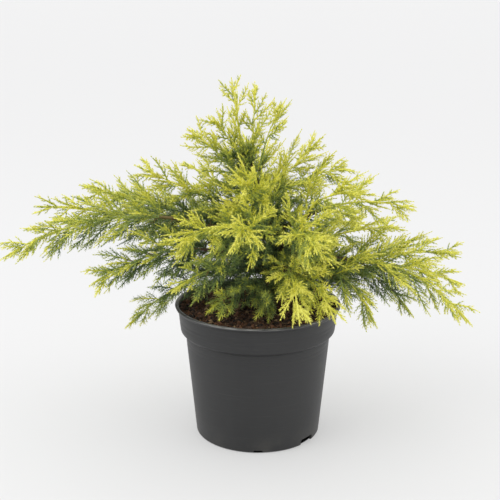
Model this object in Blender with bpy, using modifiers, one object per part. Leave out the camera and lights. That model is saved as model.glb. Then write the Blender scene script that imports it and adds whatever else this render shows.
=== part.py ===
"""A golden spreading juniper in a plastic nursery pot, as separate closed solids.

The pot is a turned shell, filled with peat. A short leaning trunk rises out of the peat and
carries the boughs. Each bough ends where a mass of foliage takes over from it, and shorter
masses grow straight from the trunk. A mass is one solid: a three-sided stem with toothed
blades of needles round it, and it keeps to its own space in the crown.

Units are metres, +Z is up. The origin is the centre of the pot's flat underside. The plant
is seen from the front when looking along +Y. Azimuth 0 is the right-hand side, 90 the back.
"""

import math
import random

import bpy
import bmesh
from mathutils import Matrix, Quaternion, Vector
from mathutils.bvhtree import BVHTree

# ---------------------------------------------------------------- driving sizes
GAP = 0.0003                 # clearance between solids that meet
SOIL_GAP = GAP * 1.5         # clearance between the peat and the wall, square to the axis
SEAT_GAP = GAP * 1.4         # clearance between the end of a short stem and the trunk
SEATING_STEPS = 4

POT_HEIGHT = 0.155
RIM_RADIUS = 0.095           # outermost edge of the lip
LIP_WIDTH = 0.004            # top of the lip, from its inner to its outer edge
LIP_EDGE = 0.0045            # height of the lip's outer edge
BAND_TOP_RADIUS = 0.0916     # the band under the lip narrows a little towards its bottom
BAND_RADIUS = 0.0888         # its outer radius there
BAND_BOTTOM = 0.1255
SHOULDER_BOTTOM = 0.1185     # the band runs in to the tapering body down to here
BODY_TOP_RADIUS = 0.0830
BODY_FOOT_RADIUS = 0.0718
WALL = 0.0016
FLOOR_CORNER = 0.0035        # slope where the inside of the wall meets the floor
POT_STEPS = 36               # facets round the pot
EDGE = 0.0015                # small bevel round the lip and the foot
CHANNEL_HEIGHT = 0.0085      # hollow ring under the base that the drain notches open into
CHANNEL_INNER = 0.047
CHANNEL_OUTER = 0.0686
BASE_THICKNESS = 0.002
# Drain notches in the foot: azimuth in degrees, width and height.
DRAIN_NOTCHES = ((-39, 0.021, 0.0075), (51, 0.021, 0.0075), (141, 0.021, 0.0075),
                 (-90, 0.010, 0.0028), (6, 0.010, 0.0028), (96, 0.010, 0.0028))
NOTCH_DEPTH = 0.02

SOIL_EDGE = 0.1505           # height of the peat along the wall
SOIL_TOP = 0.1475            # height of the flat middle that the trunk stands on
SOIL_FLAT_RADIUS = 0.052

TRUNK_FOOT = Vector((0.028, 0.018, SOIL_TOP + GAP))
TRUNK_TOP = Vector((-0.018, 0.008, 0.330))
TRUNK_BOW = Vector((0.012, -0.004, 0.0))   # how far its middle stands off the straight line
TRUNK_RADIUS = 0.0080
TRUNK_TIP_RADIUS = 0.0030
ROOT_FLARE = 1.55            # foot radius, as a multiple of the trunk's
TRUNK_KNOTS = 11

CROWN_REACH = 0.285          # from the pot's axis to the furthest tip
CROWN_TOP = 0.405            # height of a tip whose limb has a rise of 1

BOUGH_KNOTS = 5
BOUGH_TIP_RADIUS = 0.0024
STEM_TIP_RADIUS = 0.0011
STEM_KNOTS = 5
STEM_SIDES = 3
BLADE_SPACING = 0.0158       # along a stem, from one toothed blade to the next
FIRST_BLADE = 0.06           # the side blades grow from here to here, as shares of the stem
LAST_BLADE = 0.92
BLADE_ANGLE = 43             # degrees between a blade and the stem it grows from
CLOSING = 12                 # degrees by which that angle is less at the tip of the stem
BLADE_TURN = 137.5           # degrees round the stem, from one blade to the next
STRAY_TURN = 14              # degrees by which this and the next two may stray, either way
STRAY_ANGLE = 6
STRAY_ROLL = 22
STRAY_LENGTH = 0.12          # share by which a blade may be longer or shorter than the rule
BLADE_THICKNESS = 0.017      # this and the rest as shares of the blade's length
BLADE_ROOT = 0.006           # half width where it is sunk in the stem
BLADE_RIB = 0.034            # half width between the teeth
RIB_TAPER = 0.5              # how much of that width is lost on the way to the tip
TOOTH_LENGTH = 0.50
FIRST_TOOTH_LENGTH = 0.40
TOOTH_TAPER = 0.55           # power of the rest of the blade that a tooth's length follows
TOOTH_ANGLE = math.radians(36)
TOOTH_STARTS = (0.08, 0.22)  # where the first tooth of either side grows
LAST_TOOTH_END = 0.80
FREE_ROOT = 0.3              # only the corners beyond this share have to keep to their space
LEAST_BLADE = 0.013          # shortest side blade
LEAST_END_BLADE = 0.016      # shortest blade that ends a stem
END_BLADE = 0.50             # its usual length, as a share of the longest side blade
END_BLADE_SUNK = 0.02        # share of it that lies past the stem's tip
LONG_BLADE = 0.036           # from this length on, a blade has three teeth on one side
BLADE_SIZES = (1.0, 0.82, 0.66, 0.5)   # tried in turn, where a blade finds no room
OVERSHOOT = 0.004            # how far a side blade may pass the tip of its stem
SHARED_SPACE = 0.50          # 1 keeps each mass to the points nearest to its own stem
KEPT_FACES = 0.68            # a union leaves flat faces cut small, and this share of them is enough
RANDOM_SEED = 20

# Limbs that start with a woody bough. Azimuth in degrees; reach as a share of CROWN_REACH;
# height of the tip as a share of the crown's height over the peat; height where it leaves
# the trunk, in metres; arch over the straight line, in metres; share of the limb that is
# bough; length of its longest side blades, in metres; radius of the limb where it starts.
BOUGHS = {
    "left_long":        (-172, 1.00, 0.27, 0.214, 0.045, 0.32, 0.060, 0.0042),
    "left_upper":       (173, 0.91, 0.44, 0.229, 0.006, 0.32, 0.054, 0.0036),
    "left_high":        (179, 0.70, 0.56, 0.245, -0.006, 0.32, 0.052, 0.0032),
    "left_back":        (148, 0.73, 0.44, 0.203, 0.008, 0.32, 0.060, 0.0034),
    "left_low":         (-165, 0.67, 0.165, 0.192, 0.032, 0.30, 0.058, 0.0034),
    "front_right":      (-74, 0.52, 0.12, 0.184, 0.030, 0.24, 0.050, 0.0032),
    "front_middle":     (-98, 0.57, 0.49, 0.222, 0.016, 0.22, 0.064, 0.0032),
    "front_middle_right": (-70, 0.58, 0.42, 0.212, 0.024, 0.22, 0.064, 0.0032),
    "front_left_high":  (-122, 0.56, 0.42, 0.206, 0.026, 0.22, 0.064, 0.0032),
    "right_low":        (-9, 0.85, -0.03, 0.170, 0.050, 0.28, 0.062, 0.0040),
    "right_middle":     (-4, 0.82, 0.13, 0.200, 0.013, 0.30, 0.054, 0.0036),
    "right_long":       (9, 0.85, 0.22, 0.184, 0.008, 0.30, 0.060, 0.0038),
    "right_back":       (24, 0.65, 0.30, 0.208, 0.008, 0.30, 0.054, 0.0034),
    "right_high":       (-1, 0.62, 0.45, 0.236, 0.020, 0.28, 0.046, 0.0032),
    "back_right":       (50, 0.74, 0.26, 0.190, 0.022, 0.30, 0.060, 0.0036),
    "back_middle":      (82, 0.72, 0.38, 0.216, 0.018, 0.30, 0.060, 0.0034),
    "back_left":        (112, 0.74, 0.24, 0.184, 0.026, 0.30, 0.060, 0.0036),
    "back_left_low":    (136, 0.74, 0.14, 0.170, 0.032, 0.32, 0.056, 0.0036),
}

# Masses that grow straight from the trunk: as above, without the bough's share.
SHORT_LIMBS = {
    "left_hanging":     (-172, 0.53, -0.06, 0.184, 0.028, 0.056, 0.0024),
    "front_left":       (-134, 0.46, 0.19, 0.186, 0.020, 0.056, 0.0022),
    "front_right_rim":  (-56, 0.50, 0.09, 0.178, 0.024, 0.056, 0.0022),
    "right_rim":        (-24, 0.50, -0.01, 0.157, 0.046, 0.058, 0.0022),
    "right_hanging":    (0, 0.63, -0.04, 0.157, 0.046, 0.056, 0.0024),
    "back_low":         (72, 0.56, 0.02, 0.168, 0.038, 0.061, 0.0024),
    "low_front":        (-88, 0.26, 0.07, 0.160, 0.012, 0.044, 0.0016),
    "low_front_left":   (-122, 0.34, 0.10, 0.168, 0.012, 0.046, 0.0016),
    "inner_right":      (-44, 0.38, 0.36, 0.206, 0.010, 0.060, 0.0018),
    "upper_left":       (180, 0.48, 0.65, 0.258, -0.004, 0.056, 0.0020),
    "upper_left_back":  (135, 0.44, 0.60, 0.266, 0.000, 0.044, 0.0020),
    "upper_left_front": (-163, 0.28, 0.82, 0.278, 0.006, 0.046, 0.0018),
    "upper_front":      (-100, 0.36, 0.66, 0.250, 0.006, 0.061, 0.0020),
    "upper_front_right": (-20, 0.44, 0.57, 0.244, 0.010, 0.061, 0.0020),
    "upper_right":      (21, 0.40, 0.60, 0.268, 0.010, 0.048, 0.0020),
    "upper_right_back": (40, 0.33, 0.72, 0.280, -0.002, 0.054, 0.0020),
    "upper_back":       (96, 0.42, 0.66, 0.262, 0.006, 0.063, 0.0020),
    "top_left":         (178, 0.18, 0.86, 0.314, 0.003, 0.046, 0.0016),
    "top_right":        (180, 0.012, 0.99, 0.312, 0.000, 0.044, 0.0016),
    "top_right_low":    (-20, 0.095, 0.885, 0.300, 0.014, 0.048, 0.0016),
}
LEADER_TIP = Vector((-0.029, 0.0, 0.410))
LEADER_SPREAD = 0.040
LEADER_RADIUS = 0.0024

COLOURS = {
    "pot": (0.060, 0.062, 0.064, 0.55),
    "soil": (0.065, 0.035, 0.018, 0.95),
    "bark": (0.120, 0.085, 0.055, 0.90),
    "foliage": (0.330, 0.380, 0.060, 0.60),
}


# ---------------------------------------------------------------- scene helpers
def clear_scene():
    for old in list(bpy.data.objects):
        bpy.data.objects.remove(old)


def new_collection(name, hidden=False):
    collection = bpy.data.collections.new(name)
    collection.hide_render = hidden
    bpy.context.scene.collection.children.link(collection)
    return collection


def material(name):
    made = bpy.data.materials.new(name)
    made.use_nodes = True
    shader = made.node_tree.nodes["Principled BSDF"]
    *colour, roughness = COLOURS[name]
    shader.inputs["Base Color"].default_value = (*colour, 1.0)
    shader.inputs["Roughness"].default_value = roughness
    shader.inputs["Metallic"].default_value = 0.0
    return made


def add_object(name, data, collection, finish=None):
    made = bpy.data.objects.new(name, data)
    collection.objects.link(made)
    if finish is not None:
        made.data.materials.append(finish)
    return made


def evaluated_mesh(maker, name):
    """A copy of an object's mesh with its modifiers applied, in world space."""
    bpy.context.view_layer.update()
    graph = bpy.context.evaluated_depsgraph_get()
    mesh = bpy.data.meshes.new_from_object(maker.evaluated_get(graph))
    mesh.name = name
    mesh.transform(maker.matrix_world)
    return mesh


def mesh_of(maker, name):
    """The mesh of a curve, with its loose caps welded on."""
    mesh = evaluated_mesh(maker, name)
    shape = bmesh.new()
    shape.from_mesh(mesh)
    bmesh.ops.remove_doubles(shape, verts=shape.verts, dist=1e-6)
    bmesh.ops.recalc_face_normals(shape, faces=shape.faces)
    shape.to_mesh(mesh)
    shape.free()
    return mesh


def surface_of(mesh, matrix=None):
    """A tree of the mesh's faces that other surfaces can be tested against."""
    place = matrix or Matrix.Identity(4)
    points = [place @ vertex.co for vertex in mesh.vertices]
    faces = [tuple(face.vertices) for face in mesh.polygons]
    return BVHTree.FromPolygons(points, faces)


# ---------------------------------------------------------------- pot and peat
def body_radius(height):
    """Outer radius of the pot's tapering body."""
    return BODY_FOOT_RADIUS + (BODY_TOP_RADIUS - BODY_FOOT_RADIUS) * height / SHOULDER_BOTTOM


def inner_radius(height):
    """Inner radius of the pot, from the bottom of its band up to the top of the lip."""
    low = BAND_RADIUS - WALL
    share = (height - BAND_BOTTOM) / (POT_HEIGHT - BAND_BOTTOM)
    return low + (RIM_RADIUS - LIP_WIDTH - low) * share


def turned(name, profile, collection, finish):
    """A solid of revolution about Z. The profile runs down the outer side to the axis."""
    shape = bmesh.new()
    knots = [shape.verts.new((radius, 0.0, height)) for radius, height in profile]
    for start, end in zip(knots, knots[1:]):
        shape.edges.new((start, end))
    mesh = bpy.data.meshes.new(name)
    shape.to_mesh(mesh)
    shape.free()
    made = add_object(name, mesh, collection, finish)
    screw = made.modifiers.new("turn", "SCREW")
    screw.steps = POT_STEPS
    screw.render_steps = POT_STEPS
    screw.use_merge_vertices = True
    screw.merge_threshold = 0.00001
    return made


def pot_profile():
    """The pot's outline, from the middle of its floor over the lip to the middle of its foot."""
    floor = CHANNEL_HEIGHT + BASE_THICKNESS
    return (
        (0.0, floor),
        (body_radius(floor) - WALL - FLOOR_CORNER, floor),
        (body_radius(floor) - WALL, floor + FLOOR_CORNER),
        (body_radius(SHOULDER_BOTTOM) - WALL, SHOULDER_BOTTOM),
        (inner_radius(BAND_BOTTOM), BAND_BOTTOM),
        (inner_radius(POT_HEIGHT - EDGE / 2), POT_HEIGHT - EDGE / 2),
        (RIM_RADIUS - LIP_WIDTH + EDGE / 2, POT_HEIGHT),
        (RIM_RADIUS - EDGE, POT_HEIGHT),
        (RIM_RADIUS, POT_HEIGHT - EDGE),
        (RIM_RADIUS, POT_HEIGHT - LIP_EDGE + EDGE),
        (BAND_TOP_RADIUS, POT_HEIGHT - LIP_EDGE),
        (BAND_RADIUS, BAND_BOTTOM),
        (BAND_RADIUS - EDGE / 2, BAND_BOTTOM - EDGE),
        (body_radius(SHOULDER_BOTTOM), SHOULDER_BOTTOM),
        (body_radius(EDGE), EDGE),
        (BODY_FOOT_RADIUS - EDGE, 0.0),
        (CHANNEL_OUTER, 0.0),
        (CHANNEL_OUTER - EDGE / 2, CHANNEL_HEIGHT),
        (CHANNEL_INNER + EDGE, CHANNEL_HEIGHT),
        (CHANNEL_INNER, 0.0),
        (0.0, 0.0),
    )


def make_pot(collection, cutters, finish):
    pot = turned("pot", pot_profile(), collection, finish)
    for number, (azimuth, width, height) in enumerate(DRAIN_NOTCHES):
        shape = bmesh.new()
        bmesh.ops.create_cube(shape, size=1.0)
        mesh = bpy.data.meshes.new("notch_cutter")
        block = Matrix.Diagonal((NOTCH_DEPTH, width, 2 * height, 1.0))
        bmesh.ops.transform(shape, matrix=block, verts=shape.verts)
        shape.to_mesh(mesh)
        shape.free()
        cutter = add_object(f"notch_cutter_{number}", mesh, cutters)
        turn = Matrix.Rotation(math.radians(azimuth), 4, "Z")
        cutter.matrix_world = turn @ Matrix.Translation((BODY_FOOT_RADIUS, 0.0, 0.0))
        cutter.display_type = "WIRE"
        cutter.hide_render = True
        cut = pot.modifiers.new(f"notch_{number}", "BOOLEAN")
        cut.operation = "DIFFERENCE"
        cut.object = cutter
    return pot


def make_soil(collection, finish):
    """Peat that fills the pot, a little clear of its wall and highest along it."""
    floor = CHANNEL_HEIGHT + BASE_THICKNESS + GAP
    profile = (
        (0.0, SOIL_TOP),
        (SOIL_FLAT_RADIUS, SOIL_TOP),
        (inner_radius(SOIL_EDGE) - SOIL_GAP, SOIL_EDGE),
        (inner_radius(BAND_BOTTOM) - SOIL_GAP, BAND_BOTTOM + GAP),
        (body_radius(SHOULDER_BOTTOM) - WALL - SOIL_GAP, SHOULDER_BOTTOM + GAP),
        (body_radius(floor) - WALL - SOIL_GAP, floor + FLOOR_CORNER),
        (body_radius(floor) - WALL - SOIL_GAP - FLOOR_CORNER, floor),
        (0.0, floor),
    )
    return turned("soil", profile, collection, finish)


# ---------------------------------------------------------------- limbs
def limb(name, points, radii, collection, finish=None, section=None, sides=1):
    """A tapering tube along the points, closed at both ends."""
    curve = bpy.data.curves.new(name, "CURVE")
    curve.dimensions = "3D"
    curve.use_fill_caps = True
    if section is None:
        curve.bevel_depth = 1.0
        curve.bevel_resolution = sides
    else:
        curve.bevel_mode = "OBJECT"
        curve.bevel_object = section
    spline = curve.splines.new("POLY")
    spline.points.add(len(points) - 1)
    for knot, point, radius in zip(spline.points, points, radii):
        knot.co = (*point, 1.0)
        knot.radius = radius
    return add_object(name, curve, collection, finish)


def trunk_line(count):
    """Points of the trunk's centre line, from its foot to its top. It leaves the peat upright."""
    points = []
    for step in range(count):
        share = step / (count - 1)
        straight = TRUNK_FOOT.lerp(TRUNK_TOP, share)
        bow = TRUNK_BOW * math.sin(math.pi * share)
        points.append(straight + bow)
    upright = points[1].copy()
    upright.x = TRUNK_FOOT.x
    upright.y = TRUNK_FOOT.y
    points[1] = upright
    return points


def trunk_radius(share):
    flare = 1.0 + (ROOT_FLARE - 1.0) * math.exp(-share * 16)
    return (TRUNK_RADIUS + (TRUNK_TIP_RADIUS - TRUNK_RADIUS) * share) * flare


def on_trunk(height):
    """The trunk's centre, direction and radius at a height."""
    points = trunk_line(TRUNK_KNOTS)
    for number, (low, high) in enumerate(zip(points, points[1:])):
        if low.z <= height <= high.z:
            along = (height - low.z) / (high.z - low.z)
            share = (number + along) / (TRUNK_KNOTS - 1)
            return low.lerp(high, along), (high - low).normalized(), trunk_radius(share)
    return points[-1], (points[-1] - points[-2]).normalized(), TRUNK_TIP_RADIUS


def compass(azimuth):
    return Vector((math.cos(math.radians(azimuth)), math.sin(math.radians(azimuth)), 0.0))


def limb_line(azimuth, reach, rise, leave, arch, radius):
    """A function of 0 to 1 along a limb's centre line, from the trunk's bark to its tip.

    Its first end is a disc square to the line. The disc's nearest edge stands clear of the bark.
    """
    centre, upward, trunk = on_trunk(leave)
    tip = compass(azimuth) * reach * CROWN_REACH
    tip.z = SOIL_TOP + rise * (CROWN_TOP - SOIL_TOP)
    outward = Vector((tip.x - centre.x, tip.y - centre.y, 0.0))
    outward = (outward - upward * outward.dot(upward)).normalized()
    start = centre + outward * (trunk + GAP)
    for _ in range(3):
        middle = (start + tip) / 2 + Vector((0.0, 0.0, 2 * arch))
        leaving = (middle - start).normalized()
        tilt = math.sqrt(max(0.0, 1.0 - leaving.dot(outward) ** 2))
        start = centre + outward * (trunk + GAP + radius * tilt)

    def point(share):
        return (1 - share) ** 2 * start + 2 * share * (1 - share) * middle + share ** 2 * tip

    return point


def sampled(line, start, end, count):
    return [line(start + (end - start) * step / (count - 1)) for step in range(count)]


def share_past(line, share, distance):
    """The share at which a limb's line lies this far from another of its shares."""
    further = share
    while (line(further) - line(share)).length < distance:
        further += 0.0005
    return further


def length_of(points):
    return sum((b - a).length for a, b in zip(points, points[1:]))


class Plume:
    """The plan of one mass: its stem's line, its radius and how far its blades spread."""

    def __init__(self, name, points, radius, spread):
        self.name = name
        self.points = points
        self.radius = radius
        self.spread = spread
        self.length = length_of(points)


def plan_plumes():
    plumes = []
    boughs = []
    for name, row in BOUGHS.items():
        azimuth, reach, rise, leave, arch, wood, spread, radius = row
        line = limb_line(azimuth, reach, rise, leave, arch, radius)
        bough = sampled(line, 0.0, wood, BOUGH_KNOTS)
        boughs.append((name, bough, radius))
        stem = sampled(line, wood, 1.0, STEM_KNOTS)
        bend = (bough[-1] - bough[-2]).angle(stem[1] - stem[0])
        start = share_past(line, wood, GAP + BOUGH_TIP_RADIUS * math.sin(bend))
        stem = sampled(line, start, 1.0, STEM_KNOTS)
        plumes.append(Plume(name, stem, BOUGH_TIP_RADIUS, spread))
    for name, row in SHORT_LIMBS.items():
        azimuth, reach, rise, leave, arch, spread, radius = row
        line = limb_line(azimuth, reach, rise, leave, arch, radius)
        plumes.append(Plume(name, sampled(line, 0.0, 1.0, STEM_KNOTS), radius, spread))
    before, last = trunk_line(TRUNK_KNOTS)[-2:]
    upward = (last - before).normalized()
    lean = upward.angle(LEADER_TIP - last)
    foot = last + upward * (GAP + LEADER_RADIUS * math.sin(lean))
    stem = [foot.lerp(LEADER_TIP, step / (STEM_KNOTS - 1)) for step in range(STEM_KNOTS)]
    plumes.append(Plume("leader", stem, LEADER_RADIUS, LEADER_SPREAD))
    return boughs, plumes


def seat(mesh, plume, bark):
    """Lengthens a stem at its root until the nearest corner of its end is close to the trunk."""
    root, second = plume.points[:2]
    inward = (root - second).normalized()
    corners = [vertex for vertex in mesh.vertices
               if (vertex.co - root).length < plume.radius * 1.05]
    for _ in range(SEATING_STEPS):
        gap = min(bark.find_nearest(corner.co)[3] for corner in corners)
        for corner in corners:
            corner.co += inward * max(0.0, gap - SEAT_GAP)


# ---------------------------------------------------------------- foliage
def blade_outline(teeth):
    """Corners of a toothed blade of unit length along +X, and which of them are sharp tips.

    The teeth point forward. One side has one tooth fewer than the other.
    """
    sides = []
    for count, start in zip((teeth, max(1, teeth - 1)), TOOTH_STARTS):
        step = (LAST_TOOTH_END - start) / count
        side = [(0.0, BLADE_ROOT, False)]
        for number in range(count):
            root = start + step * number
            longest = FIRST_TOOTH_LENGTH if number == 0 else TOOTH_LENGTH
            reach = longest * (1.0 - root) ** TOOTH_TAPER
            side.append((root + reach * math.cos(TOOTH_ANGLE), reach * math.sin(TOOTH_ANGLE), True))
            side.append((root + step, BLADE_RIB * (1.0 - RIB_TAPER * root), False))
        sides.append(side)
    left, right = sides
    return left + [(1.0, 0.0, True)] + [(x, -y, tip) for x, y, tip in reversed(right)]


def blade_mesh(teeth, helpers):
    """A blade as a solid: flat between its teeth, and sharpened to a point at each tip."""
    curve = bpy.data.curves.new(f"blade_{teeth}", "CURVE")
    curve.dimensions = "2D"
    curve.fill_mode = "BOTH"
    curve.extrude = BLADE_THICKNESS / 2
    outline = blade_outline(teeth)
    spline = curve.splines.new("POLY")
    spline.use_cyclic_u = True
    spline.points.add(len(outline) - 1)
    for knot, (x, y, _) in zip(spline.points, outline):
        knot.co = (x, y, 0.0, 1.0)
    maker = add_object(f"blade_maker_{teeth}", curve, helpers)
    mesh = mesh_of(maker, f"blade_{teeth}")
    bpy.data.objects.remove(maker)
    shape = bmesh.new()
    shape.from_mesh(mesh)
    for x, y, sharp in outline:
        if sharp:
            pair = [corner for corner in shape.verts if math.dist(corner.co.xy, (x, y)) < 1e-4]
            bmesh.ops.pointmerge(shape, verts=pair, merge_co=(x, y, 0.0))
    shape.to_mesh(mesh)
    shape.free()
    return mesh


def twig_section(helpers):
    """A three-sided section of unit radius that the stems are swept with."""
    curve = bpy.data.curves.new("twig_section", "CURVE")
    curve.dimensions = "2D"
    spline = curve.splines.new("POLY")
    spline.use_cyclic_u = True
    spline.points.add(STEM_SIDES - 1)
    for number, knot in enumerate(spline.points):
        turn = math.tau * number / STEM_SIDES
        knot.co = (math.cos(turn), math.sin(turn), 0.0, 1.0)
    section = add_object("twig_section", curve, helpers)
    section.hide_render = True
    return section


def along(points, share):
    """The place and the direction at a share of a line's knots."""
    place = min(share, 0.9999) * (len(points) - 1)
    number = int(place)
    start, end = points[number], points[number + 1]
    return start.lerp(end, place - number), (end - start).normalized()


def nearness(point, plume):
    """Distance from a plume's stem, as a share of its spread."""
    least = min((point - knot).length for knot in plume.places)
    return least / plume.spread


def keeps_to_space(points, plume, plumes):
    """True where no point lies deep in another plume's space."""
    for point in points:
        own = nearness(point, plume) * SHARED_SPACE
        if any(nearness(point, other) < own for other in plumes if other is not plume):
            return False
    return True


def blade_place(root, direction, normal, length, roll):
    side = normal.cross(direction).normalized()
    up = direction.cross(side)
    basis = Matrix((direction, side, up)).transposed().to_4x4()
    turned_basis = basis @ Matrix.Rotation(roll, 4, "X")
    return Matrix.Translation(root) @ turned_basis @ Matrix.Scale(length, 4)


def plume_profile(share):
    """Length of the side blades along a stem, as a share of the longest."""
    return math.sin(math.pi * (0.40 + 0.50 * share))


def plan_blades(plume, plumes, blades, solids, dice):
    """Places of the blades on a stem, as (mesh, matrix). A blade that finds no room is left out.

    The last one grows on from the stem's tip. The others stand round the stem in a spiral.
    """
    placed = []
    own = []
    count = max(3, round(plume.length / BLADE_SPACING))
    turn = dice.uniform(0, 360)
    for number in range(count + 1):
        share = FIRST_BLADE + (LAST_BLADE - FIRST_BLADE) * number / count
        root, forward = along(plume.points, share)
        level = forward.cross(Vector((0.0, 0.0, 1.0)))
        across = level.normalized() if level.length > 0.2 else Vector((1.0, 0.0, 0.0))
        turn += BLADE_TURN + dice.uniform(-STRAY_TURN, STRAY_TURN)
        outward = Quaternion(forward, math.radians(turn)) @ across
        angle = math.radians(BLADE_ANGLE + dice.uniform(-STRAY_ANGLE, STRAY_ANGLE) - CLOSING * share)
        direction = (forward * math.cos(angle) + outward * math.sin(angle)).normalized()
        normal = forward.cross(outward)
        full = plume.spread * plume_profile(share) * dice.uniform(1 - STRAY_LENGTH, 1 + STRAY_LENGTH)
        left = plume.length * (1.0 - share) + OVERSHOOT
        full = min(full, left / math.cos(angle))
        if number == count:
            full = max(LEAST_END_BLADE, plume.spread * END_BLADE)
            root = plume.points[-1] - forward * full * (1.0 - END_BLADE_SUNK)
            direction = forward
            normal = forward.cross(across).normalized()
        roll = math.radians(dice.uniform(-STRAY_ROLL, STRAY_ROLL))
        for shrink in BLADE_SIZES:
            length = full * shrink
            if length < LEAST_BLADE:
                break
            mesh = blades[3 if length > LONG_BLADE else 2]
            place = blade_place(root, direction, normal, length, roll)
            corners = [place @ vertex.co for vertex in mesh.vertices]
            outer = [c for c in corners if (c - root).length > length * FREE_ROOT]
            if number < count and not keeps_to_space(outer, plume, plumes):
                continue
            surface = surface_of(mesh, place)
            if any(surface.overlap(other) for other in solids + own):
                continue
            placed.append((mesh, place))
            own.append(surface)
            break
    return placed


def keep_largest_piece(mesh):
    """Drops the loose scraps of a fused mass."""
    shape = bmesh.new()
    shape.from_mesh(mesh)
    left = set(shape.verts)
    islands = []
    while left:
        island = set()
        front = [next(iter(left))]
        while front:
            corner = front.pop()
            if corner in island:
                continue
            island.add(corner)
            front += [edge.other_vert(corner) for edge in corner.link_edges]
        left -= island
        islands.append(island)
    islands.sort(key=len)
    scraps = [corner for island in islands[:-1] for corner in island]
    bmesh.ops.delete(shape, geom=scraps, context="VERTS")
    shape.to_mesh(mesh)
    shape.free()


def is_closed(mesh):
    shape = bmesh.new()
    shape.from_mesh(mesh)
    closed = all(edge.is_manifold and edge.is_contiguous for edge in shape.edges)
    shape.free()
    return closed


def fuse(stem, placed, helpers):
    """Joins the blades to the stem with one Boolean union."""
    if not placed:
        return
    for number, (mesh, place) in enumerate(placed):
        blade = add_object(f"{stem.name}_blade_{number}", mesh, helpers)
        blade.matrix_world = place
    union = stem.modifiers.new("union", "BOOLEAN")
    union.operation = "UNION"
    union.operand_type = "COLLECTION"
    union.collection = helpers
    union.solver = "MANIFOLD"
    thin_out = stem.modifiers.new("thin_out", "DECIMATE")
    for kept in (KEPT_FACES, (1 + KEPT_FACES) / 2, 1.0):
        thin_out.ratio = kept
        fused = evaluated_mesh(stem, stem.name)
        keep_largest_piece(fused)
        if is_closed(fused):
            break
    stem.modifiers.clear()
    stem.data = fused
    for blade in list(helpers.objects):
        bpy.data.objects.remove(blade)


def main():
    clear_scene()
    plant = new_collection("potted_juniper")
    cutters = new_collection("cutters", hidden=True)
    joining = new_collection("joining", hidden=True)
    finishes = {name: material(name) for name in COLOURS}

    pot = make_pot(plant, cutters, finishes["pot"])
    soil = make_soil(plant, finishes["soil"])

    knots = trunk_line(TRUNK_KNOTS)
    thickness = [trunk_radius(step / (TRUNK_KNOTS - 1)) for step in range(TRUNK_KNOTS)]
    trunk = limb("trunk", knots, thickness, plant, finishes["bark"], sides=2)

    boughs, plumes = plan_plumes()
    limbs = [trunk]
    for name, points, radius in boughs:
        taper = [radius + (BOUGH_TIP_RADIUS - radius) * step / (BOUGH_KNOTS - 1)
                 for step in range(BOUGH_KNOTS)]
        limbs.append(limb(f"bough_{name}", points, taper, plant, finishes["bark"]))

    bark = surface_of(mesh_of(trunk, "bark"))
    section = twig_section(cutters)
    blades = {teeth: blade_mesh(teeth, cutters) for teeth in (2, 3)}
    for plume in plumes:
        plume.places = [along(plume.points, step / 10)[0] for step in range(11)]
        taper = [plume.radius + (STEM_TIP_RADIUS - plume.radius) * step / (STEM_KNOTS - 1)
                 for step in range(STEM_KNOTS)]
        swept = limb("stem", plume.points, taper, plant, section=section)
        plume.mesh = mesh_of(swept, f"foliage_{plume.name}")
        if plume.name in SHORT_LIMBS:
            seat(plume.mesh, plume, bark)
        bpy.data.objects.remove(swept)

    solid_surfaces = [surface_of(mesh_of(piece, "test")) for piece in (pot, soil, *limbs)]
    stems = {plume.name: surface_of(plume.mesh) for plume in plumes}
    taken = []
    for number, plume in enumerate(plumes):
        dice = random.Random(RANDOM_SEED + number)
        others = [stems[other.name] for other in plumes if other is not plume]
        solids = solid_surfaces + others + [s for owner, s in taken if owner is not plume]
        placed = plan_blades(plume, plumes, blades, solids, dice)
        taken += [(plume, surface_of(mesh, place)) for mesh, place in placed]
        stem = add_object(f"foliage_{plume.name}", plume.mesh, plant, finishes["foliage"])
        fuse(stem, placed, joining)


main()
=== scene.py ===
"""The looks of a golden spreading juniper in a plastic nursery pot, built round its solids.

The pot is turned again with its moulded detail, and the peat in it gets crumbs and fibres. Bark
with relief stands for the trunk and the boughs. Each mass of foliage is grown again by the
rule of the solids: a stem that carries on from its limb, side shoots round it, finer shoots on
those, and whorls of needles on all of them. The light that reaches a shoot through its
neighbours sets the tint and the length of its needles. A few masses carry young foliage, which
is greener and has longer needles.

Units are metres, +Z is up, and the plant is seen from the front when looking along +Y.
"""

import math
import random

import bmesh
import bpy
import numpy as np
from mathutils import Matrix, Quaternion, Vector, noise


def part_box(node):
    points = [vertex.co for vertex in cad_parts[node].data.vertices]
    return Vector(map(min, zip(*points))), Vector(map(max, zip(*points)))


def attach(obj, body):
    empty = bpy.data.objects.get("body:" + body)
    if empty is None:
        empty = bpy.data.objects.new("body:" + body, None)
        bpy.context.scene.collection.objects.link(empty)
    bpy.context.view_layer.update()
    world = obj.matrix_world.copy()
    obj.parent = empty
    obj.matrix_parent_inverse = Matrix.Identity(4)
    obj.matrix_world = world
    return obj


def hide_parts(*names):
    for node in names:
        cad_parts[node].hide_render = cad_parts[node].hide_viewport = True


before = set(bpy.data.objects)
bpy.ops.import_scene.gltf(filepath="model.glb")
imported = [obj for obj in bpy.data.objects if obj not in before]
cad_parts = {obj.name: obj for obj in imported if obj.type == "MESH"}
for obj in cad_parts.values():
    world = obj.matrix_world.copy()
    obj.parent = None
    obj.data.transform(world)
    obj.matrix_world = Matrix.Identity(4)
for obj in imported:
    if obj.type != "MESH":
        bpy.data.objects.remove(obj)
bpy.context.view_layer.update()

# ---------------------------------------------------------------- sizes taken from the frame
POT_LOW, POT_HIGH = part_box("pot")
POT_HEIGHT = POT_HIGH.z
RIM_RADIUS = POT_HIGH.x
SOIL_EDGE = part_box("soil")[1].z
PEAT_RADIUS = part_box("soil")[1].x
GAP = 0.0003
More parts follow.
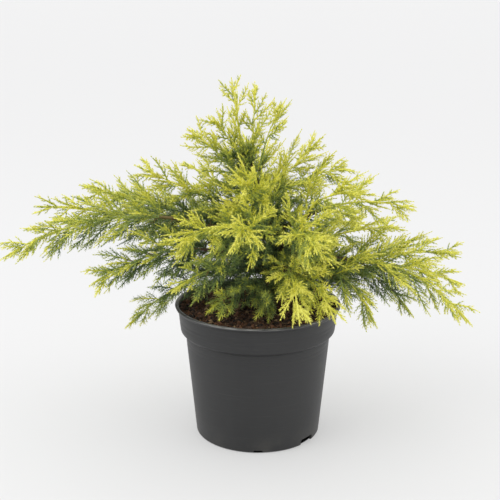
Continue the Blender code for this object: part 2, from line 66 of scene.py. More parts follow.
SOIL_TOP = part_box("trunk")[0].z - GAP

# ---------------------------------------------------------------- pot
LIP_WIDTH = 0.004            # top of the lip, from its inner to its outer edge
LIP_EDGE = 0.0045            # height of the lip's outer edge
LIP_ROUND = 0.0012
BAND_TOP_RADIUS = 0.0916     # band under the lip, from here down to its bottom radius
BAND_RADIUS = 0.0888
BAND_BOTTOM = 0.1255
SHOULDER_BOTTOM = 0.1185
BODY_TOP_RADIUS = 0.0830
BODY_FOOT_RADIUS = 0.0718
WALL = 0.0016
FLOOR_CORNER = 0.0035
FOOT_ROUND = 0.0026
CHANNEL_HEIGHT = 0.0085      # hollow ring under the base that the drain notches open into
CHANNEL_INNER = 0.047
CHANNEL_OUTER = 0.0686
BASE_THICKNESS = 0.002
UNDERCUT = 0.0015            # height over which the lip's edge runs in, and out again to the band
SHOULDER_STEP = 0.0010       # height of the step under the shoulder
GROOVE = 0.0004              # depth of the moulded lines
GROOVE_HALF = 0.0008         # half of their height
MOULD_RINGS = (0.1385, 0.1340, 0.1120, 0.1075)   # heights of the shallow rings on the wall
POT_STEPS = 180
SHARP_ANGLE = 38             # degrees from which an edge of the pot is sharp
# Drain notches and slots in the foot: azimuth in degrees, width, and heights from and to.
DRAIN_NOTCHES = ((-39, 0.021, -0.002, 0.0075), (51, 0.021, -0.002, 0.0075),
                 (141, 0.021, -0.002, 0.0075), (-90, 0.010, 0.0004, 0.0032),
                 (6, 0.010, 0.0004, 0.0032), (96, 0.010, 0.0004, 0.0032))
NOTCH_DEPTH = 0.02
NOTCH_ROUND = 0.3            # rounding of an opening's upper corners, as a share of its height

# ---------------------------------------------------------------- peat
SOIL_FLAT_RADIUS = 0.052     # the peat rises from here to the wall
PEAT_RINGS = 90
PEAT_SPOKES = 200
PEAT_SKIRT = 0.006           # how far the peat reaches down under the flat of its solid
PEAT_SEED = 31
# Unevenness of the peat: how close it is set, where in the noise it is read, and its height.
PEAT_LUMPS = ((28, 3.1, 0.0015), (95, 7.7, 0.0015), (330, 1.3, 0.0006))
PEAT_TINTS = (("peat_dark", (0.016, 0.010, 0.007)), ("peat_brown", (0.060, 0.031, 0.018)),
              ("peat_red_brown", (0.130, 0.060, 0.030)), ("peat_straw", (0.240, 0.160, 0.085)))
CRUMBS = 3600
CRUMB_LEAST = 0.0005
CRUMB_RANGE = 0.0024         # by which the largest crumb is larger than the smallest
CRUMB_STRETCH = (0.6, 1.4)   # least and most along each axis
CRUMB_ROUGHNESS = (0.72, 1.25)   # the same for each corner
CRUMB_SHARES = (4, 6, 5, 0.8)   # how often crumbs have each of the tints
FIBRES = 700
FIBRE_LENGTHS = (0.004, 0.014)
FIBRE_RADII = (0.00012, 0.00032)
FIBRE_TAPER = (0.4, 1.0, 1.0, 0.8, 0.3)   # share of its radius that a fibre has at each knot
FIBRE_BEND = 1.2             # radians through which it may bend, either way
FIBRE_INSET = 0.016          # least distance from the wall to where it starts
FIBRE_LIFT = 0.0003          # height over the peat at its ends, and how far it arches over that
FIBRE_ARCH = 0.0008
FIBRE_SHARES = (1, 3, 4, 1.4)

# ---------------------------------------------------------------- wood
TRUNK_FOOT = Vector((0.028, 0.018, SOIL_TOP + GAP))
TRUNK_TOP = Vector((-0.018, 0.008, 0.330))
TRUNK_BOW = Vector((0.012, -0.004, 0.0))
TRUNK_RADIUS = 0.0080
TRUNK_TIP_RADIUS = 0.0030
ROOT_FLARE = 1.55
FLARE_FALL = 16              # how soon the flare ends, going up
TRUNK_KNOTS = 11
CROWN_REACH = 0.285
CROWN_TOP = 0.405
BOUGH_TIP_RADIUS = 0.0024
BOUGH_KNOTS = 12
BOUGH_OVERLAP = 0.01         # share of a limb by which its bough runs on inside its stem's root
BOUGH_ROOT = 0.003           # length of bough that is sunk in the trunk
STEM_KNOTS = 15
BARK_RELIEF = 0.16           # of the strips, as a share of the limb's radius
BARK_STRIPS = 2.6            # how close the strips are set round a limb
BARK_BREAKS = 85             # how close their ends are set along it
TRUNK_MESH = (28, 0.0012)    # sides, and spacing of the rings
BOUGH_MESH = (14, 0.0014)

# ---------------------------------------------------------------- shoots
BLADE_SPACING = 0.0158       # along a stem, from one main side shoot to the next
FIRST_BLADE = 0.06           # the side shoots grow from here to here, as shares of the stem
LAST_BLADE = 0.92
BLADE_ANGLE = 43             # degrees between a side shoot and its stem
CLOSING = 12                 # degrees by which that angle is less at the tip of the stem
BLADE_TURN = 137.5           # degrees round the stem, from one side shoot to the next
STRAY_TURN = 14              # degrees by which this and the next two may stray, either way
STRAY_ANGLE = 6
STRAY_ROLL = 22
STRAY_LENGTH = 0.12          # share by which a side shoot may be longer or shorter than the rule
LEAST_SIDE = 0.0096          # shortest side shoot
LEAST_END_BLADE = 0.016      # shortest shoot that ends a stem
END_BLADE = 0.50             # its usual length, as a share of the longest side shoot
END_BLADE_SUNK = 0.02        # share of it that lies past the stem's tip
BLADE_SIZES = (1.0, 0.82, 0.66, 0.5)   # tried in turn, where a shoot finds no room
SHARED_SPACE = 0.50          # 1 keeps each mass to the points nearest to its own stem
OVERSHOOT = 0.004            # how far a side shoot may pass the tip of its stem
# Rows of side shoots: seed; how far on they start, as a share of BLADE_SPACING; and their size.
# The first row is the one that the solids have. The third is for FULL_MASSES, the closest set.
SHOOT_ROWS = ((20, 0.0, 1.0), (1000, 0.5, 0.86), (2000, 0.25, 0.86))
FULL_MASSES = ("left_long", "left_back", "left_low", "top_left", "upper_left",
               "upper_left_front", "upper_right", "upper_right_back", "upper_front")
NEARLY_UPRIGHT = 0.2         # level part of a stem's direction, under which its sides are along X
SIDE_KNOTS = 6
SIDE_RADIUS = 0.0008
SIDE_BOW = 0.055             # how far a shoot bows out from its stem, as a share of its length
FINE_KNOTS = 3
FINE_RADIUS = 0.0006
FINE_BOW = 0.05
FINE_SPACING = 0.0037        # along a side shoot, from one finer shoot to the next
FIRST_FINE = 0.07            # the finer shoots grow from here to here
LAST_FINE = 0.80
FINE_LENGTH = 0.44           # longest finer shoot, as a share of its side shoot
FINE_TAPER = 0.8             # power of the rest of the side shoot that their length follows
LEAST_FINE = 0.0045
MOST_FINE = 0.023
TOOTH_ANGLE = 36             # degrees between a finer shoot and its side shoot
TOOTH_STRAYS = (-7, 8)
FINE_CLOSING = 10            # degrees by which that angle is less at the tip
FINE_STRAY = 0.3             # of FINE_SPACING, either way
FINE_SIZES = (0.66, 1.08)    # least and most of the length that the rule gives
FINE_TILT = 24               # degrees by which finer shoots lean out of their plane, as a rule
SQUARE_EVERY = 4             # one in so many stands square to that plane
FINE_SEED = 500
# Leafy spurs on a limb: the share of it where they start, and their spacing.
BOUGH_SPURS = (0.15, 0.0040)
TRUNK_SPURS = (0.38, 0.0015)
SPUR_LENGTH = 0.036
SPUR_LENGTHS = (0.75, 1.15)  # least and most, as shares of that
SPUR_SIZES = (1.0, 0.75, 0.55)   # tried in turn, where a spur finds no room
SPUR_ANGLES = (40, 62)
SPUR_STRAY = 20
SPUR_HELPER = Vector((0.3, 1.0, 0.2))   # a direction that no limb has
SPUR_SEED = 3000
TWIG_SIDES = (6, 4, 3)       # of a stem, a side shoot and a finer one
TWIG_TIP = 0.3               # radius of a shoot's tip, as a share of the radius at its root
TWIG_TAPERS = (4.0, 1.0, 1.0)   # power that the radius between them follows
SPACE_STEPS = 10             # steps along a stem, each of which claims the space round it
TRUNK_CHECKS = 60            # places along the trunk and a bough that shoots keep clear of
BOUGH_CHECKS = 16
NOD = 0.05                   # how far a shoot's tip hangs, as a share of its length
WOOD_ROOM = 0.0012           # clearance of the outer part of a shoot from trunk and boughs
POT_ROOM = 0.003             # the same from pot and peat

# Needles: the first value is for deep shade, the second for full light.
WHORL_SPACINGS = (0.0025, 0.0034)   # along a shoot, from one whorl of needles to the next
NEEDLE_LENGTHS = (0.0068, 0.0040)
NEEDLE_HALF_WIDTHS = (0.00040, 0.00056)
NEEDLE_LEANS = (60, 27)      # degrees between a needle and its shoot
TIP_LEAN_LOST = 0.62         # share of the lean that is lost at a shoot's tip
TIP_LENGTH_LOST = 0.45
LEAN_STRAY = 5
TURN_STRAY = 0.2             # radians by which a needle strays from its place in the whorl
NEEDLE_SIZES = (0.74, 1.22)  # least and most of the length that the rule gives
NEEDLE_RIDGE = 1.1           # height of a needle's foot, in half widths
BARE_FEET = (0.12, 0.06, 0.0)   # bare share of a stem, a side shoot and a finer one
NEEDLE_SEED = 4000

# Light in the crown, and the tints that it gives. Levels run from 0, first tint, to 1, last.
CELL = 0.012
LIGHT_STEPS = 12
ABSORBED = 6.0               # per metre of shoot in a cell that light passes
DIM = 0.14                   # share of the sky's light that leaves a shoot in full shade
BRIGHT = 0.68                # share that lights it fully
LIGHT_GOLD = 0.90            # level that full light adds
OUTER_GOLD = 0.20            # level that the outer end of a stem or shoot has over its root
TIP_GOLD = 2.4               # tints by which a shoot's tip is more golden than its foot
UPPER_GOLD_AND_PAINTED_LIGHT = 0.9             # tints by which a needle on a shoot's upper side is more golden: partly its own gold in the sun, partly painted light from above
SHOOT_VARIETY = 1.2          # tints by which shoots differ
NEEDLE_VARIETY = 0.4         # tints by which the needles of one shoot differ
TWIG_SHADE = 0.7             # tints by which a green twig is darker than its needles
ZENITH_LIGHT = 1.6           # weight of the light from straight above
SKY_RINGS = ((55, 6, 1.0), (20, 8, 0.7))   # the rest: height in degrees, directions, weight
WOODY = (0.22, 0.10, 0.0)    # brown share of a stem, a side shoot and a finer one in the shade

# Limbs that start with a woody bough: azimuth in degrees; reach as a share of CROWN_REACH;
# height of the tip as a share of the crown's height over the peat; height where it leaves the
# trunk; arch over the straight line; share of the limb that is bough; length of its longest
# side shoots; radius where it starts.
BOUGHS = {
    "left_long":        (-172, 1.00, 0.27, 0.214, 0.045, 0.32, 0.060, 0.0042),
    "left_upper":       (173, 0.91, 0.44, 0.229, 0.006, 0.32, 0.054, 0.0036),
    "left_high":        (179, 0.70, 0.56, 0.245, -0.006, 0.32, 0.052, 0.0032),
    "left_back":        (148, 0.73, 0.44, 0.203, 0.008, 0.32, 0.060, 0.0034),
    "left_low":         (-165, 0.67, 0.165, 0.192, 0.032, 0.30, 0.058, 0.0034),
    "front_right":      (-74, 0.52, 0.12, 0.184, 0.030, 0.24, 0.050, 0.0032),
    "front_middle":     (-98, 0.57, 0.49, 0.222, 0.016, 0.22, 0.064, 0.0032),
    "front_middle_right": (-70, 0.58, 0.42, 0.212, 0.024, 0.22, 0.064, 0.0032),
    "front_left_high":  (-122, 0.56, 0.42, 0.206, 0.026, 0.22, 0.064, 0.0032),
    "right_low":        (-9, 0.85, -0.03, 0.170, 0.050, 0.28, 0.062, 0.0040),
    "right_middle":     (-4, 0.82, 0.13, 0.200, 0.013, 0.30, 0.054, 0.0036),
    "right_long":       (9, 0.85, 0.22, 0.184, 0.008, 0.30, 0.060, 0.0038),
    "right_back":       (24, 0.65, 0.30, 0.208, 0.008, 0.30, 0.054, 0.0034),
    "right_high":       (-1, 0.62, 0.45, 0.236, 0.020, 0.28, 0.046, 0.0032),
    "back_right":       (50, 0.74, 0.26, 0.190, 0.022, 0.30, 0.060, 0.0036),
    "back_middle":      (82, 0.72, 0.38, 0.216, 0.018, 0.30, 0.060, 0.0034),
    "back_left":        (112, 0.74, 0.24, 0.184, 0.026, 0.30, 0.060, 0.0036),
    "back_left_low":    (136, 0.74, 0.14, 0.170, 0.032, 0.32, 0.056, 0.0036),
}
# Masses that grow straight from the trunk: as above, without the bough's share.
SHORT_LIMBS = {
    "left_hanging":     (-172, 0.53, -0.06, 0.184, 0.028, 0.056, 0.0024),
    "front_left":       (-134, 0.46, 0.19, 0.186, 0.020, 0.056, 0.0022),
    "front_right_rim":  (-56, 0.50, 0.09, 0.178, 0.024, 0.056, 0.0022),
    "right_rim":        (-24, 0.50, -0.01, 0.157, 0.046, 0.058, 0.0022),
    "right_hanging":    (0, 0.63, -0.04, 0.157, 0.046, 0.056, 0.0024),
    "back_low":         (72, 0.56, 0.02, 0.168, 0.038, 0.061, 0.0024),
    "low_front":        (-88, 0.26, 0.07, 0.160, 0.012, 0.044, 0.0016),
    "low_front_left":   (-122, 0.34, 0.10, 0.168, 0.012, 0.046, 0.0016),
    "inner_right":      (-44, 0.38, 0.36, 0.206, 0.010, 0.060, 0.0018),
    "upper_left":       (180, 0.48, 0.65, 0.258, -0.004, 0.056, 0.0020),
    "upper_left_back":  (135, 0.44, 0.60, 0.266, 0.000, 0.044, 0.0020),
    "upper_left_front": (-163, 0.28, 0.82, 0.278, 0.006, 0.046, 0.0018),
    "upper_front":      (-100, 0.36, 0.66, 0.250, 0.006, 0.061, 0.0020),
    "upper_front_right": (-20, 0.44, 0.57, 0.244, 0.010, 0.061, 0.0020),
    "upper_right":      (21, 0.40, 0.60, 0.268, 0.010, 0.048, 0.0020),
    "upper_right_back": (40, 0.33, 0.72, 0.280, -0.002, 0.054, 0.0020),
    "upper_back":       (96, 0.42, 0.66, 0.262, 0.006, 0.063, 0.0020),
    "top_left":         (178, 0.18, 0.86, 0.314, 0.003, 0.046, 0.0016),
    "top_right":        (180, 0.012, 0.99, 0.312, 0.000, 0.044, 0.0016),
    "top_right_low":    (-20, 0.095, 0.885, 0.300, 0.014, 0.048, 0.0016),
}
LEADER_TIP = Vector((-0.029, 0.0, 0.410))
LEADER_SPREAD = 0.040
LEADER_RADIUS = 0.0024

# Needle tints from deepest shade to full light.
TINTS = (
    ("needle_grey_green", (0.103, 0.156, 0.074)),
    ("needle_deep_green", (0.145, 0.211, 0.080)),
    ("needle_green", (0.199, 0.274, 0.094)),
    ("needle_mid_green", (0.271, 0.350, 0.102)),
    ("needle_lime", (0.362, 0.430, 0.103)),
    ("needle_yellow_green", (0.465, 0.513, 0.098)),
    ("needle_gold", (0.588, 0.600, 0.088)),
    ("needle_bright_gold", (0.712, 0.697, 0.086)),
    ("needle_pale_tip", (0.810, 0.788, 0.170)),
)
TWIG_TINTS = (("twig_brown", (0.085, 0.048, 0.028)), ("twig_tan", (0.190, 0.140, 0.050)))
# Masses of young foliage: greener, with longer needles that stand off, even in the light.
YOUNG_MASSES = ("low_front", "low_front_left", "left_hanging", "left_back")
YOUNG = 0.35
# How much more or less golden than its light alone a mass is.
MASS_TINT = {
    "front_right": 0.38, "front_right_rim": 0.34, "front_middle": 0.06, "front_left": -0.08,
    "left_long": -0.12, "left_upper": -0.15, "left_high": -0.13, "left_back": -0.19,
    "left_low": -0.10, "left_hanging": -0.12, "low_front": 0.18, "low_front_left": 0.15,
    "right_rim": 0.10, "right_hanging": 0.10, "right_middle": -0.05, "right_long": -0.07,
    "right_high": -0.06, "upper_right": -0.04,
}


# ---------------------------------------------------------------- finishes
class Signal:
    """A value inside a tree of nodes. Arithmetic on it adds Math nodes."""

    def __init__(self, nodes, socket):
        self.nodes = nodes
        self.socket = socket

    def math(self, operation, *values):
        inputs = dict(enumerate(values))
        return self.nodes.node("Math", {"operation": operation}, inputs)

    def __add__(self, other):
        return self.math("ADD", self, other)

    def __radd__(self, other):
        return self.math("ADD", other, self)

    def __sub__(self, other):
        return self.math("SUBTRACT", self, other)

    def __rsub__(self, other):
        return self.math("SUBTRACT", other, self)

    def __mul__(self, other):
        return self.math("MULTIPLY", self, other)

    def __rmul__(self, other):
        return self.math("MULTIPLY", other, self)

    def within(self, low, high):
        """0 below low and 1 above high, with a smooth step between."""
        settings = {"interpolation_type": "SMOOTHSTEP"}
        inputs = {"Value": self, "From Min": low, "From Max": high}
        return self.nodes.node("MapRange", settings, inputs)


class Nodes:
    """The node tree of a material or of the world."""

    def __init__(self, owner):
        owner.use_nodes = True
        self.tree = owner.node_tree

    def feed(self, socket, value):
        if isinstance(value, Signal):
            self.tree.links.new(value.socket, socket)
        elif isinstance(value, (tuple, list)) and socket.type == "RGBA":
            socket.default_value = (*value, 1.0)
        else:
            socket.default_value = value

    def node(self, kind, settings=(), inputs=(), output=0):
        """Adds a node: its settings first, then the values or links of its sockets."""
        made = self.tree.nodes.new(f"ShaderNode{kind}")
        for name, value in dict(settings).items():
            setattr(made, name, value)
        for name, value in dict(inputs).items():
            self.feed(made.inputs[name], value)
        return Signal(self, made.outputs[output])

    def mixed(self, factor, first, second):
        """The first colour where the factor is 0, the second where it is 1."""
        made = self.tree.nodes.new("ShaderNodeMix")
        made.data_type = "RGBA"
        colours = [socket for socket in made.inputs if socket.type == "RGBA"]
        self.feed(made.inputs[0], factor)
        self.feed(colours[0], first)
        self.feed(colours[1], second)
        return Signal(self, next(o for o in made.outputs if o.type == "RGBA"))


class Finish(Nodes):
    """A material under construction, with one Principled shader."""

    def __init__(self, name, colour, roughness=0.5, specular=0.5):
        self.material = bpy.data.materials.new(name)
        super().__init__(self.material)
        self.shader = self.tree.nodes["Principled BSDF"]
        self.shader.inputs["Base Color"].default_value = (*colour, 1.0)
        self.shader.inputs["Roughness"].default_value = roughness
        self.shader.inputs["Specular IOR Level"].default_value = specular
        self.material.diffuse_color = (*colour, 1.0)

    def place(self):
        """Coordinates on the object, in metres."""
        return self.node("TexCoord", output="Object")

    def stretched(self, scale):
        return self.node("Mapping", inputs={"Vector": self.place(), "Scale": scale})

    def grain(self, scale, detail=3.0, roughness=0.5, vector=None):
        inputs = {"Vector": vector or self.place(), "Scale": scale,
                  "Detail": detail, "Roughness": roughness}
        return self.node("TexNoise", inputs=inputs)

    def bump(self, height, distance, strength=1.0):
        inputs = {"Height": height, "Distance": distance, "Strength": strength}
        self.feed(self.shader.inputs["Normal"], self.node("Bump", inputs=inputs))

    def colour(self, value):
        self.feed(self.shader.inputs["Base Color"], value)

    def roughness(self, value):
        self.feed(self.shader.inputs["Roughness"], value)


def pot_finish():
    """Recycled black plastic: satin, with fine lines round it, faint scratches and a scuffed lip."""
    made = Finish("pot_plastic", (0.022, 0.0225, 0.023))
    place = made.place()
    height = made.node("SeparateXYZ", inputs={"Vector": place}, output="Z")
    flat = made.node("VectorMath", {"operation": "MULTIPLY"}, {0: place, 1: (1.0, 1.0, 0.0)})
    radius = made.node("VectorMath", {"operation": "LENGTH"}, {0: flat}, output="Value")
    round_it = made.node("CombineXYZ", inputs={"Z": (height + radius) * 60.0})
    lines = made.node("VectorMath", {"operation": "ADD"}, {0: flat, 1: round_it})
    line = made.grain(16.0, 3.0, 0.7, lines)
    flow = made.grain(9.0, 4.0, 0.6, made.stretched((1.0, 1.0, 0.16)))
    cloud = made.grain(26.0, 5.0, 0.62)
    speck = made.grain(900.0, 2.0, 0.6)
    under_lip = POT_HEIGHT - LIP_EDGE
    upper = height.within(POT_HEIGHT - 0.0030, POT_HEIGHT - 0.0006)
    scuffed = upper * line.within(0.42, 0.60) * cloud.within(0.30, 0.55)
    inside = radius.within(RIM_RADIUS - LIP_WIDTH + 0.0016, RIM_RADIUS - LIP_WIDTH + 0.0004)
    mossy = inside * height.within(under_lip, under_lip + 0.0008) * cloud.within(0.34, 0.62)
    dusty = height.within(0.030, 0.0) * cloud.within(0.42, 0.70) * 0.5
    tone = made.mixed(flow.within(0.30, 0.70), (0.013, 0.0133, 0.0136), (0.019, 0.0193, 0.0197))
    tone = made.mixed(line.within(0.56, 0.70) * 0.30, tone, (0.045, 0.045, 0.044))
    tone = made.mixed(dusty, tone, (0.060, 0.057, 0.050))
    tone = made.mixed(mossy * 0.8, tone, (0.085, 0.095, 0.050))
    tone = made.mixed(scuffed * 0.85, tone, (0.270, 0.270, 0.262))
    made.colour(tone)
    made.roughness(0.36 + cloud * 0.16 + line * 0.08 + scuffed * 0.2)
    made.bump(speck * 0.4 + cloud + line * 1.2, 0.00016, 0.5)
    return made.material


def peat_finish():
    made = Finish("peat", PEAT_TINTS[1][1], roughness=0.95, specular=0.25)
    clod = made.grain(150.0, 6.0, 0.65)
    fibre = made.grain(420.0, 4.0, 0.7, made.stretched((1.0, 0.35, 1.0)))
    tone = made.mixed(clod.within(0.36, 0.62), PEAT_TINTS[0][1], PEAT_TINTS[2][1])
    tone = made.mixed(fibre.within(0.60, 0.75) * 0.7, tone, PEAT_TINTS[3][1])
    made.colour(tone)
    made.roughness(0.86 + clod * 0.14)
    made.bump(clod + fibre * 0.6, 0.0012, 0.9)
    return made.material


def bark_finish():
    """Reddish grey-brown bark that splits and peels in long strips."""
    made = Finish("bark", (0.110, 0.070, 0.045), roughness=0.9, specular=0.3)
    strip = made.grain(230.0, 5.0, 0.62, made.stretched((1.0, 1.0, 0.16)))
    fine = made.grain(700.0, 4.0, 0.7, made.stretched((1.0, 1.0, 0.22)))
    patch = made.grain(70.0, 4.0, 0.6)
    tone = made.mixed(strip.within(0.34, 0.66), (0.030, 0.017, 0.011), (0.140, 0.085, 0.054))
    tone = made.mixed(patch.within(0.50, 0.72) * 0.6, tone, (0.215, 0.165, 0.125))
    height = made.node("SeparateXYZ", inputs={"Vector": made.place()}, output="Z")
    tone = made.mixed(height.within(0.20, 0.29) * 0.75, tone, (0.200, 0.170, 0.075))
    made.colour(tone)
    made.roughness(0.80 + fine * 0.18)
    made.bump(strip + fine * 0.5, 0.0008, 0.9)
    return made.material


def needle_finishes():
    """One plain finish for each tint, so that a shoot's colour is dealt out with its faces."""
    return [Finish(name, colour, roughness=0.55, specular=0.22).material for name, colour in TINTS]


# ---------------------------------------------------------------- pieces
def linked(name, data):
    """A new object in the scene."""
    made = bpy.data.objects.new(name, data)
    bpy.context.scene.collection.objects.link(made)
    return made


def add_piece(name, mesh, finishes, replaced=()):
    """Adds a mesh as a piece that rides on the plant's one body."""
    piece = linked(name, mesh)
    for finish in finishes:
        mesh.materials.append(finish)
    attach(piece, "root")
    if replaced:
        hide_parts(*replaced)


def mesh_of(shape, name):
    """The mesh of a bmesh, which is then freed."""
    mesh = bpy.data.meshes.new(name)
    shape.to_mesh(mesh)
    shape.free()
    return mesh


def mesh_from(name, points, faces, finish_numbers=None, smooth=False):
    """A mesh from arrays of points and of triangles."""
    mesh = bpy.data.meshes.new(name)
    mesh.vertices.add(len(points))
    mesh.vertices.foreach_set("co", np.asarray(points, np.float32).ravel())
    mesh.loops.add(faces.size)
    mesh.loops.foreach_set("vertex_index", np.asarray(faces, np.int32).ravel())
    mesh.polygons.add(len(faces))
    sides = faces.shape[1]
    mesh.polygons.foreach_set("loop_start", np.arange(len(faces), dtype=np.int32) * sides)
    if finish_numbers is not None:
        mesh.polygons.foreach_set("material_index", np.asarray(finish_numbers, np.int32))
    mesh.polygons.foreach_set("use_smooth", np.full(len(faces), smooth))
    mesh.update(calc_edges=True)
    mesh.validate()
    return mesh


class Batch:
    """Points and faces of many small shapes, gathered for one mesh."""

    def __init__(self):
        self.points = []
        self.faces = []
        self.tints = []
        self.count = 0

    def add(self, points, faces, tints):
        self.points.append(points)
        self.faces.append(faces + self.count)
        self.tints.append(np.broadcast_to(tints, len(faces)))
        self.count += len(points)

    def mesh(self, name, smooth=False):
        points = np.concatenate(self.points)
        faces = np.concatenate(self.faces)
        return mesh_from(name, points, faces, np.concatenate(self.tints), smooth)


def frames_along(points):
    """Directions along a line of points, and two more square to each."""
    ahead = np.gradient(points, axis=0)
    ahead /= np.linalg.norm(ahead, axis=1, keepdims=True)
    helper = np.array((0.0, 0.0, 1.0)) if abs(ahead[0, 2]) < 0.9 else np.array((1.0, 0.0, 0.0))
    side = np.cross(ahead, helper)
    side /= np.linalg.norm(side, axis=1, keepdims=True)
    return ahead, side, np.cross(side, ahead)


def rings_round(points, radii, sides):
    """The corners of a ring round each point of a line."""
    _, side, up = frames_along(points)
    turns = np.arange(sides) * math.tau / sides
    around = side[:, None] * np.cos(turns)[None, :, None] + up[:, None] * np.sin(turns)[None, :, None]
    return points[:, None] + radii[:, None, None] * around


def between_rings(count, sides):
    """Triangles from each ring to the next, and the numbers of a ring's corners and next corners."""
    here = np.arange(sides)
    after = (here + 1) % sides
    faces = []
    for low in range(0, (count - 1) * sides, sides):
        high = low + sides
        faces.append(np.stack((low + here, low + after, high + after), 1))
        faces.append(np.stack((low + here, high + after, high + here), 1))
    return faces, here, after


def tube(points, radii, sides):
    """Points and triangles of a tapering tube with closed ends."""
    rings = rings_round(points, radii, sides)
    corners = np.concatenate((rings.reshape(-1, 3), points[:1], points[-1:]))
    faces, here, after = between_rings(len(points), sides)
    last = (len(points) - 1) * sides
    start = np.full(sides, last + sides)
    faces.append(np.stack((after, here, start), 1))
    faces.append(np.stack((last + here, last + after, start + 1), 1))
    return corners, np.concatenate(faces)


def spike(points, radii, sides):
    """Points and triangles of a tapering shoot that ends in a point. Its foot is flat."""
    rings = rings_round(points, radii, sides)[:-1]
    corners = np.concatenate((rings.reshape(-1, 3), points[-1:]))
    faces, here, after = between_rings(len(rings), sides)
    last = (len(rings) - 1) * sides
    faces.append(np.stack((last + here, last + after, np.full(sides, last + sides)), 1))
    foot = np.arange(1, sides - 1)
    faces.append(np.stack((np.zeros(sides - 2, int), foot + 1, foot), 1))
    return corners, np.concatenate(faces)


# ---------------------------------------------------------------- pot and peat
def body_radius(height):
    return BODY_FOOT_RADIUS + (BODY_TOP_RADIUS - BODY_FOOT_RADIUS) * height / SHOULDER_BOTTOM


def arc(centre, radius, start, end, steps):
    """Points of a profile's round corner, as (radius, height), between angles in degrees."""
    angles = [math.radians(start + (end - start) * step / steps) for step in range(steps + 1)]
    return [(centre[0] + radius * math.cos(a), centre[1] + radius * math.sin(a)) for a in angles]


def eased(start, end, steps):
    """An S-shaped run between two points of a profile."""
    points = []
    for step in range(steps + 1):
        share = step / steps
        ease = share * share * (3 - 2 * share)
        points.append((start[0] + (end[0] - start[0]) * ease, start[1] + (end[1] - start[1]) * share))
    return points


def inner_radius(height):
    """Inner radius of the pot, from the bottom of its band up to the top of the lip."""
    low = BAND_RADIUS - WALL
    share = (height - BAND_BOTTOM) / (POT_HEIGHT - BAND_BOTTOM)
    return low + (RIM_RADIUS - LIP_WIDTH - low) * share


def wall_radius(height):
    """Outer radius of the band and of the body under it."""
    if height < SHOULDER_BOTTOM:
        return body_radius(height)
    share = (height - BAND_BOTTOM) / (POT_HEIGHT - LIP_EDGE - BAND_BOTTOM)
    return BAND_RADIUS + (BAND_TOP_RADIUS - BAND_RADIUS) * share


def mould_ring(height):
    """A shallow groove round the wall, as points of the profile from top to bottom."""
    radius = wall_radius(height)
    return [(radius, height + GROOVE_HALF), (radius - GROOVE / 2, height), (radius, height - GROOVE_HALF)]


def pot_profile():
    """The wall's outline from the middle of the inside, over the lip, to the middle of the foot."""
    floor = CHANNEL_HEIGHT + BASE_THICKNESS
    under_lip = POT_HEIGHT - LIP_EDGE
    profile = [(0.0, floor)]
    inner_foot = body_radius(floor) - WALL - FLOOR_CORNER
    profile += arc((inner_foot, floor + FLOOR_CORNER), FLOOR_CORNER, -90, 0, 4)
    profile += [(body_radius(SHOULDER_BOTTOM) - WALL, SHOULDER_BOTTOM)]
    profile += [(inner_radius(BAND_BOTTOM), BAND_BOTTOM)]
    inner = RIM_RADIUS - LIP_WIDTH + LIP_ROUND
    profile += arc((inner, POT_HEIGHT - LIP_ROUND), LIP_ROUND, 180, 90, 4)
    profile += arc((RIM_RADIUS - LIP_ROUND, POT_HEIGHT - LIP_ROUND), LIP_ROUND, 90, 0, 5)
    profile += eased((RIM_RADIUS - GROOVE, POT_HEIGHT - LIP_EDGE / 2),
                     (BAND_TOP_RADIUS - GROOVE, under_lip - UNDERCUT), 6)
    band_top = under_lip - 2 * UNDERCUT
    profile.append((wall_radius(band_top), band_top))
    for height in MOULD_RINGS[:2]:
        profile += mould_ring(height)
    profile += eased((BAND_RADIUS, BAND_BOTTOM),
                     (body_radius(SHOULDER_BOTTOM) - GROOVE, SHOULDER_BOTTOM), 9)
    body_top = SHOULDER_BOTTOM - SHOULDER_STEP
    profile.append((body_radius(body_top), body_top))
    for height in MOULD_RINGS[2:]:
        profile += mould_ring(height)
    profile += arc((body_radius(FOOT_ROUND) - FOOT_ROUND, FOOT_ROUND), FOOT_ROUND, 0, -90, 6)
    profile += [(CHANNEL_OUTER, 0.0), (CHANNEL_OUTER - LIP_ROUND, CHANNEL_HEIGHT)]
    profile += [(CHANNEL_INNER + LIP_ROUND, CHANNEL_HEIGHT), (CHANNEL_INNER, 0.0), (0.0, 0.0)]
    return profile


def turned(name, profile, steps):
    """An object that turns a profile about Z. The profile runs down the outer side."""
    shape = bmesh.new()
    knots = [shape.verts.new((radius, 0.0, height)) for radius, height in profile]
    for start, end in zip(knots, knots[1:]):
        shape.edges.new((start, end))
    maker = linked(name, mesh_of(shape, name))
    screw = maker.modifiers.new("turn", "SCREW")
    screw.steps = steps
    screw.render_steps = steps
    screw.use_merge_vertices = True
    screw.merge_threshold = 0.00001
    return maker


def applied(maker, name):
    """The object's mesh with its modifiers applied. The maker is removed."""
    bpy.context.view_layer.update()
    graph = bpy.context.evaluated_depsgraph_get()
    mesh = bpy.data.meshes.new_from_object(maker.evaluated_get(graph))
    mesh.name = name
    bpy.data.objects.remove(maker)
    return mesh


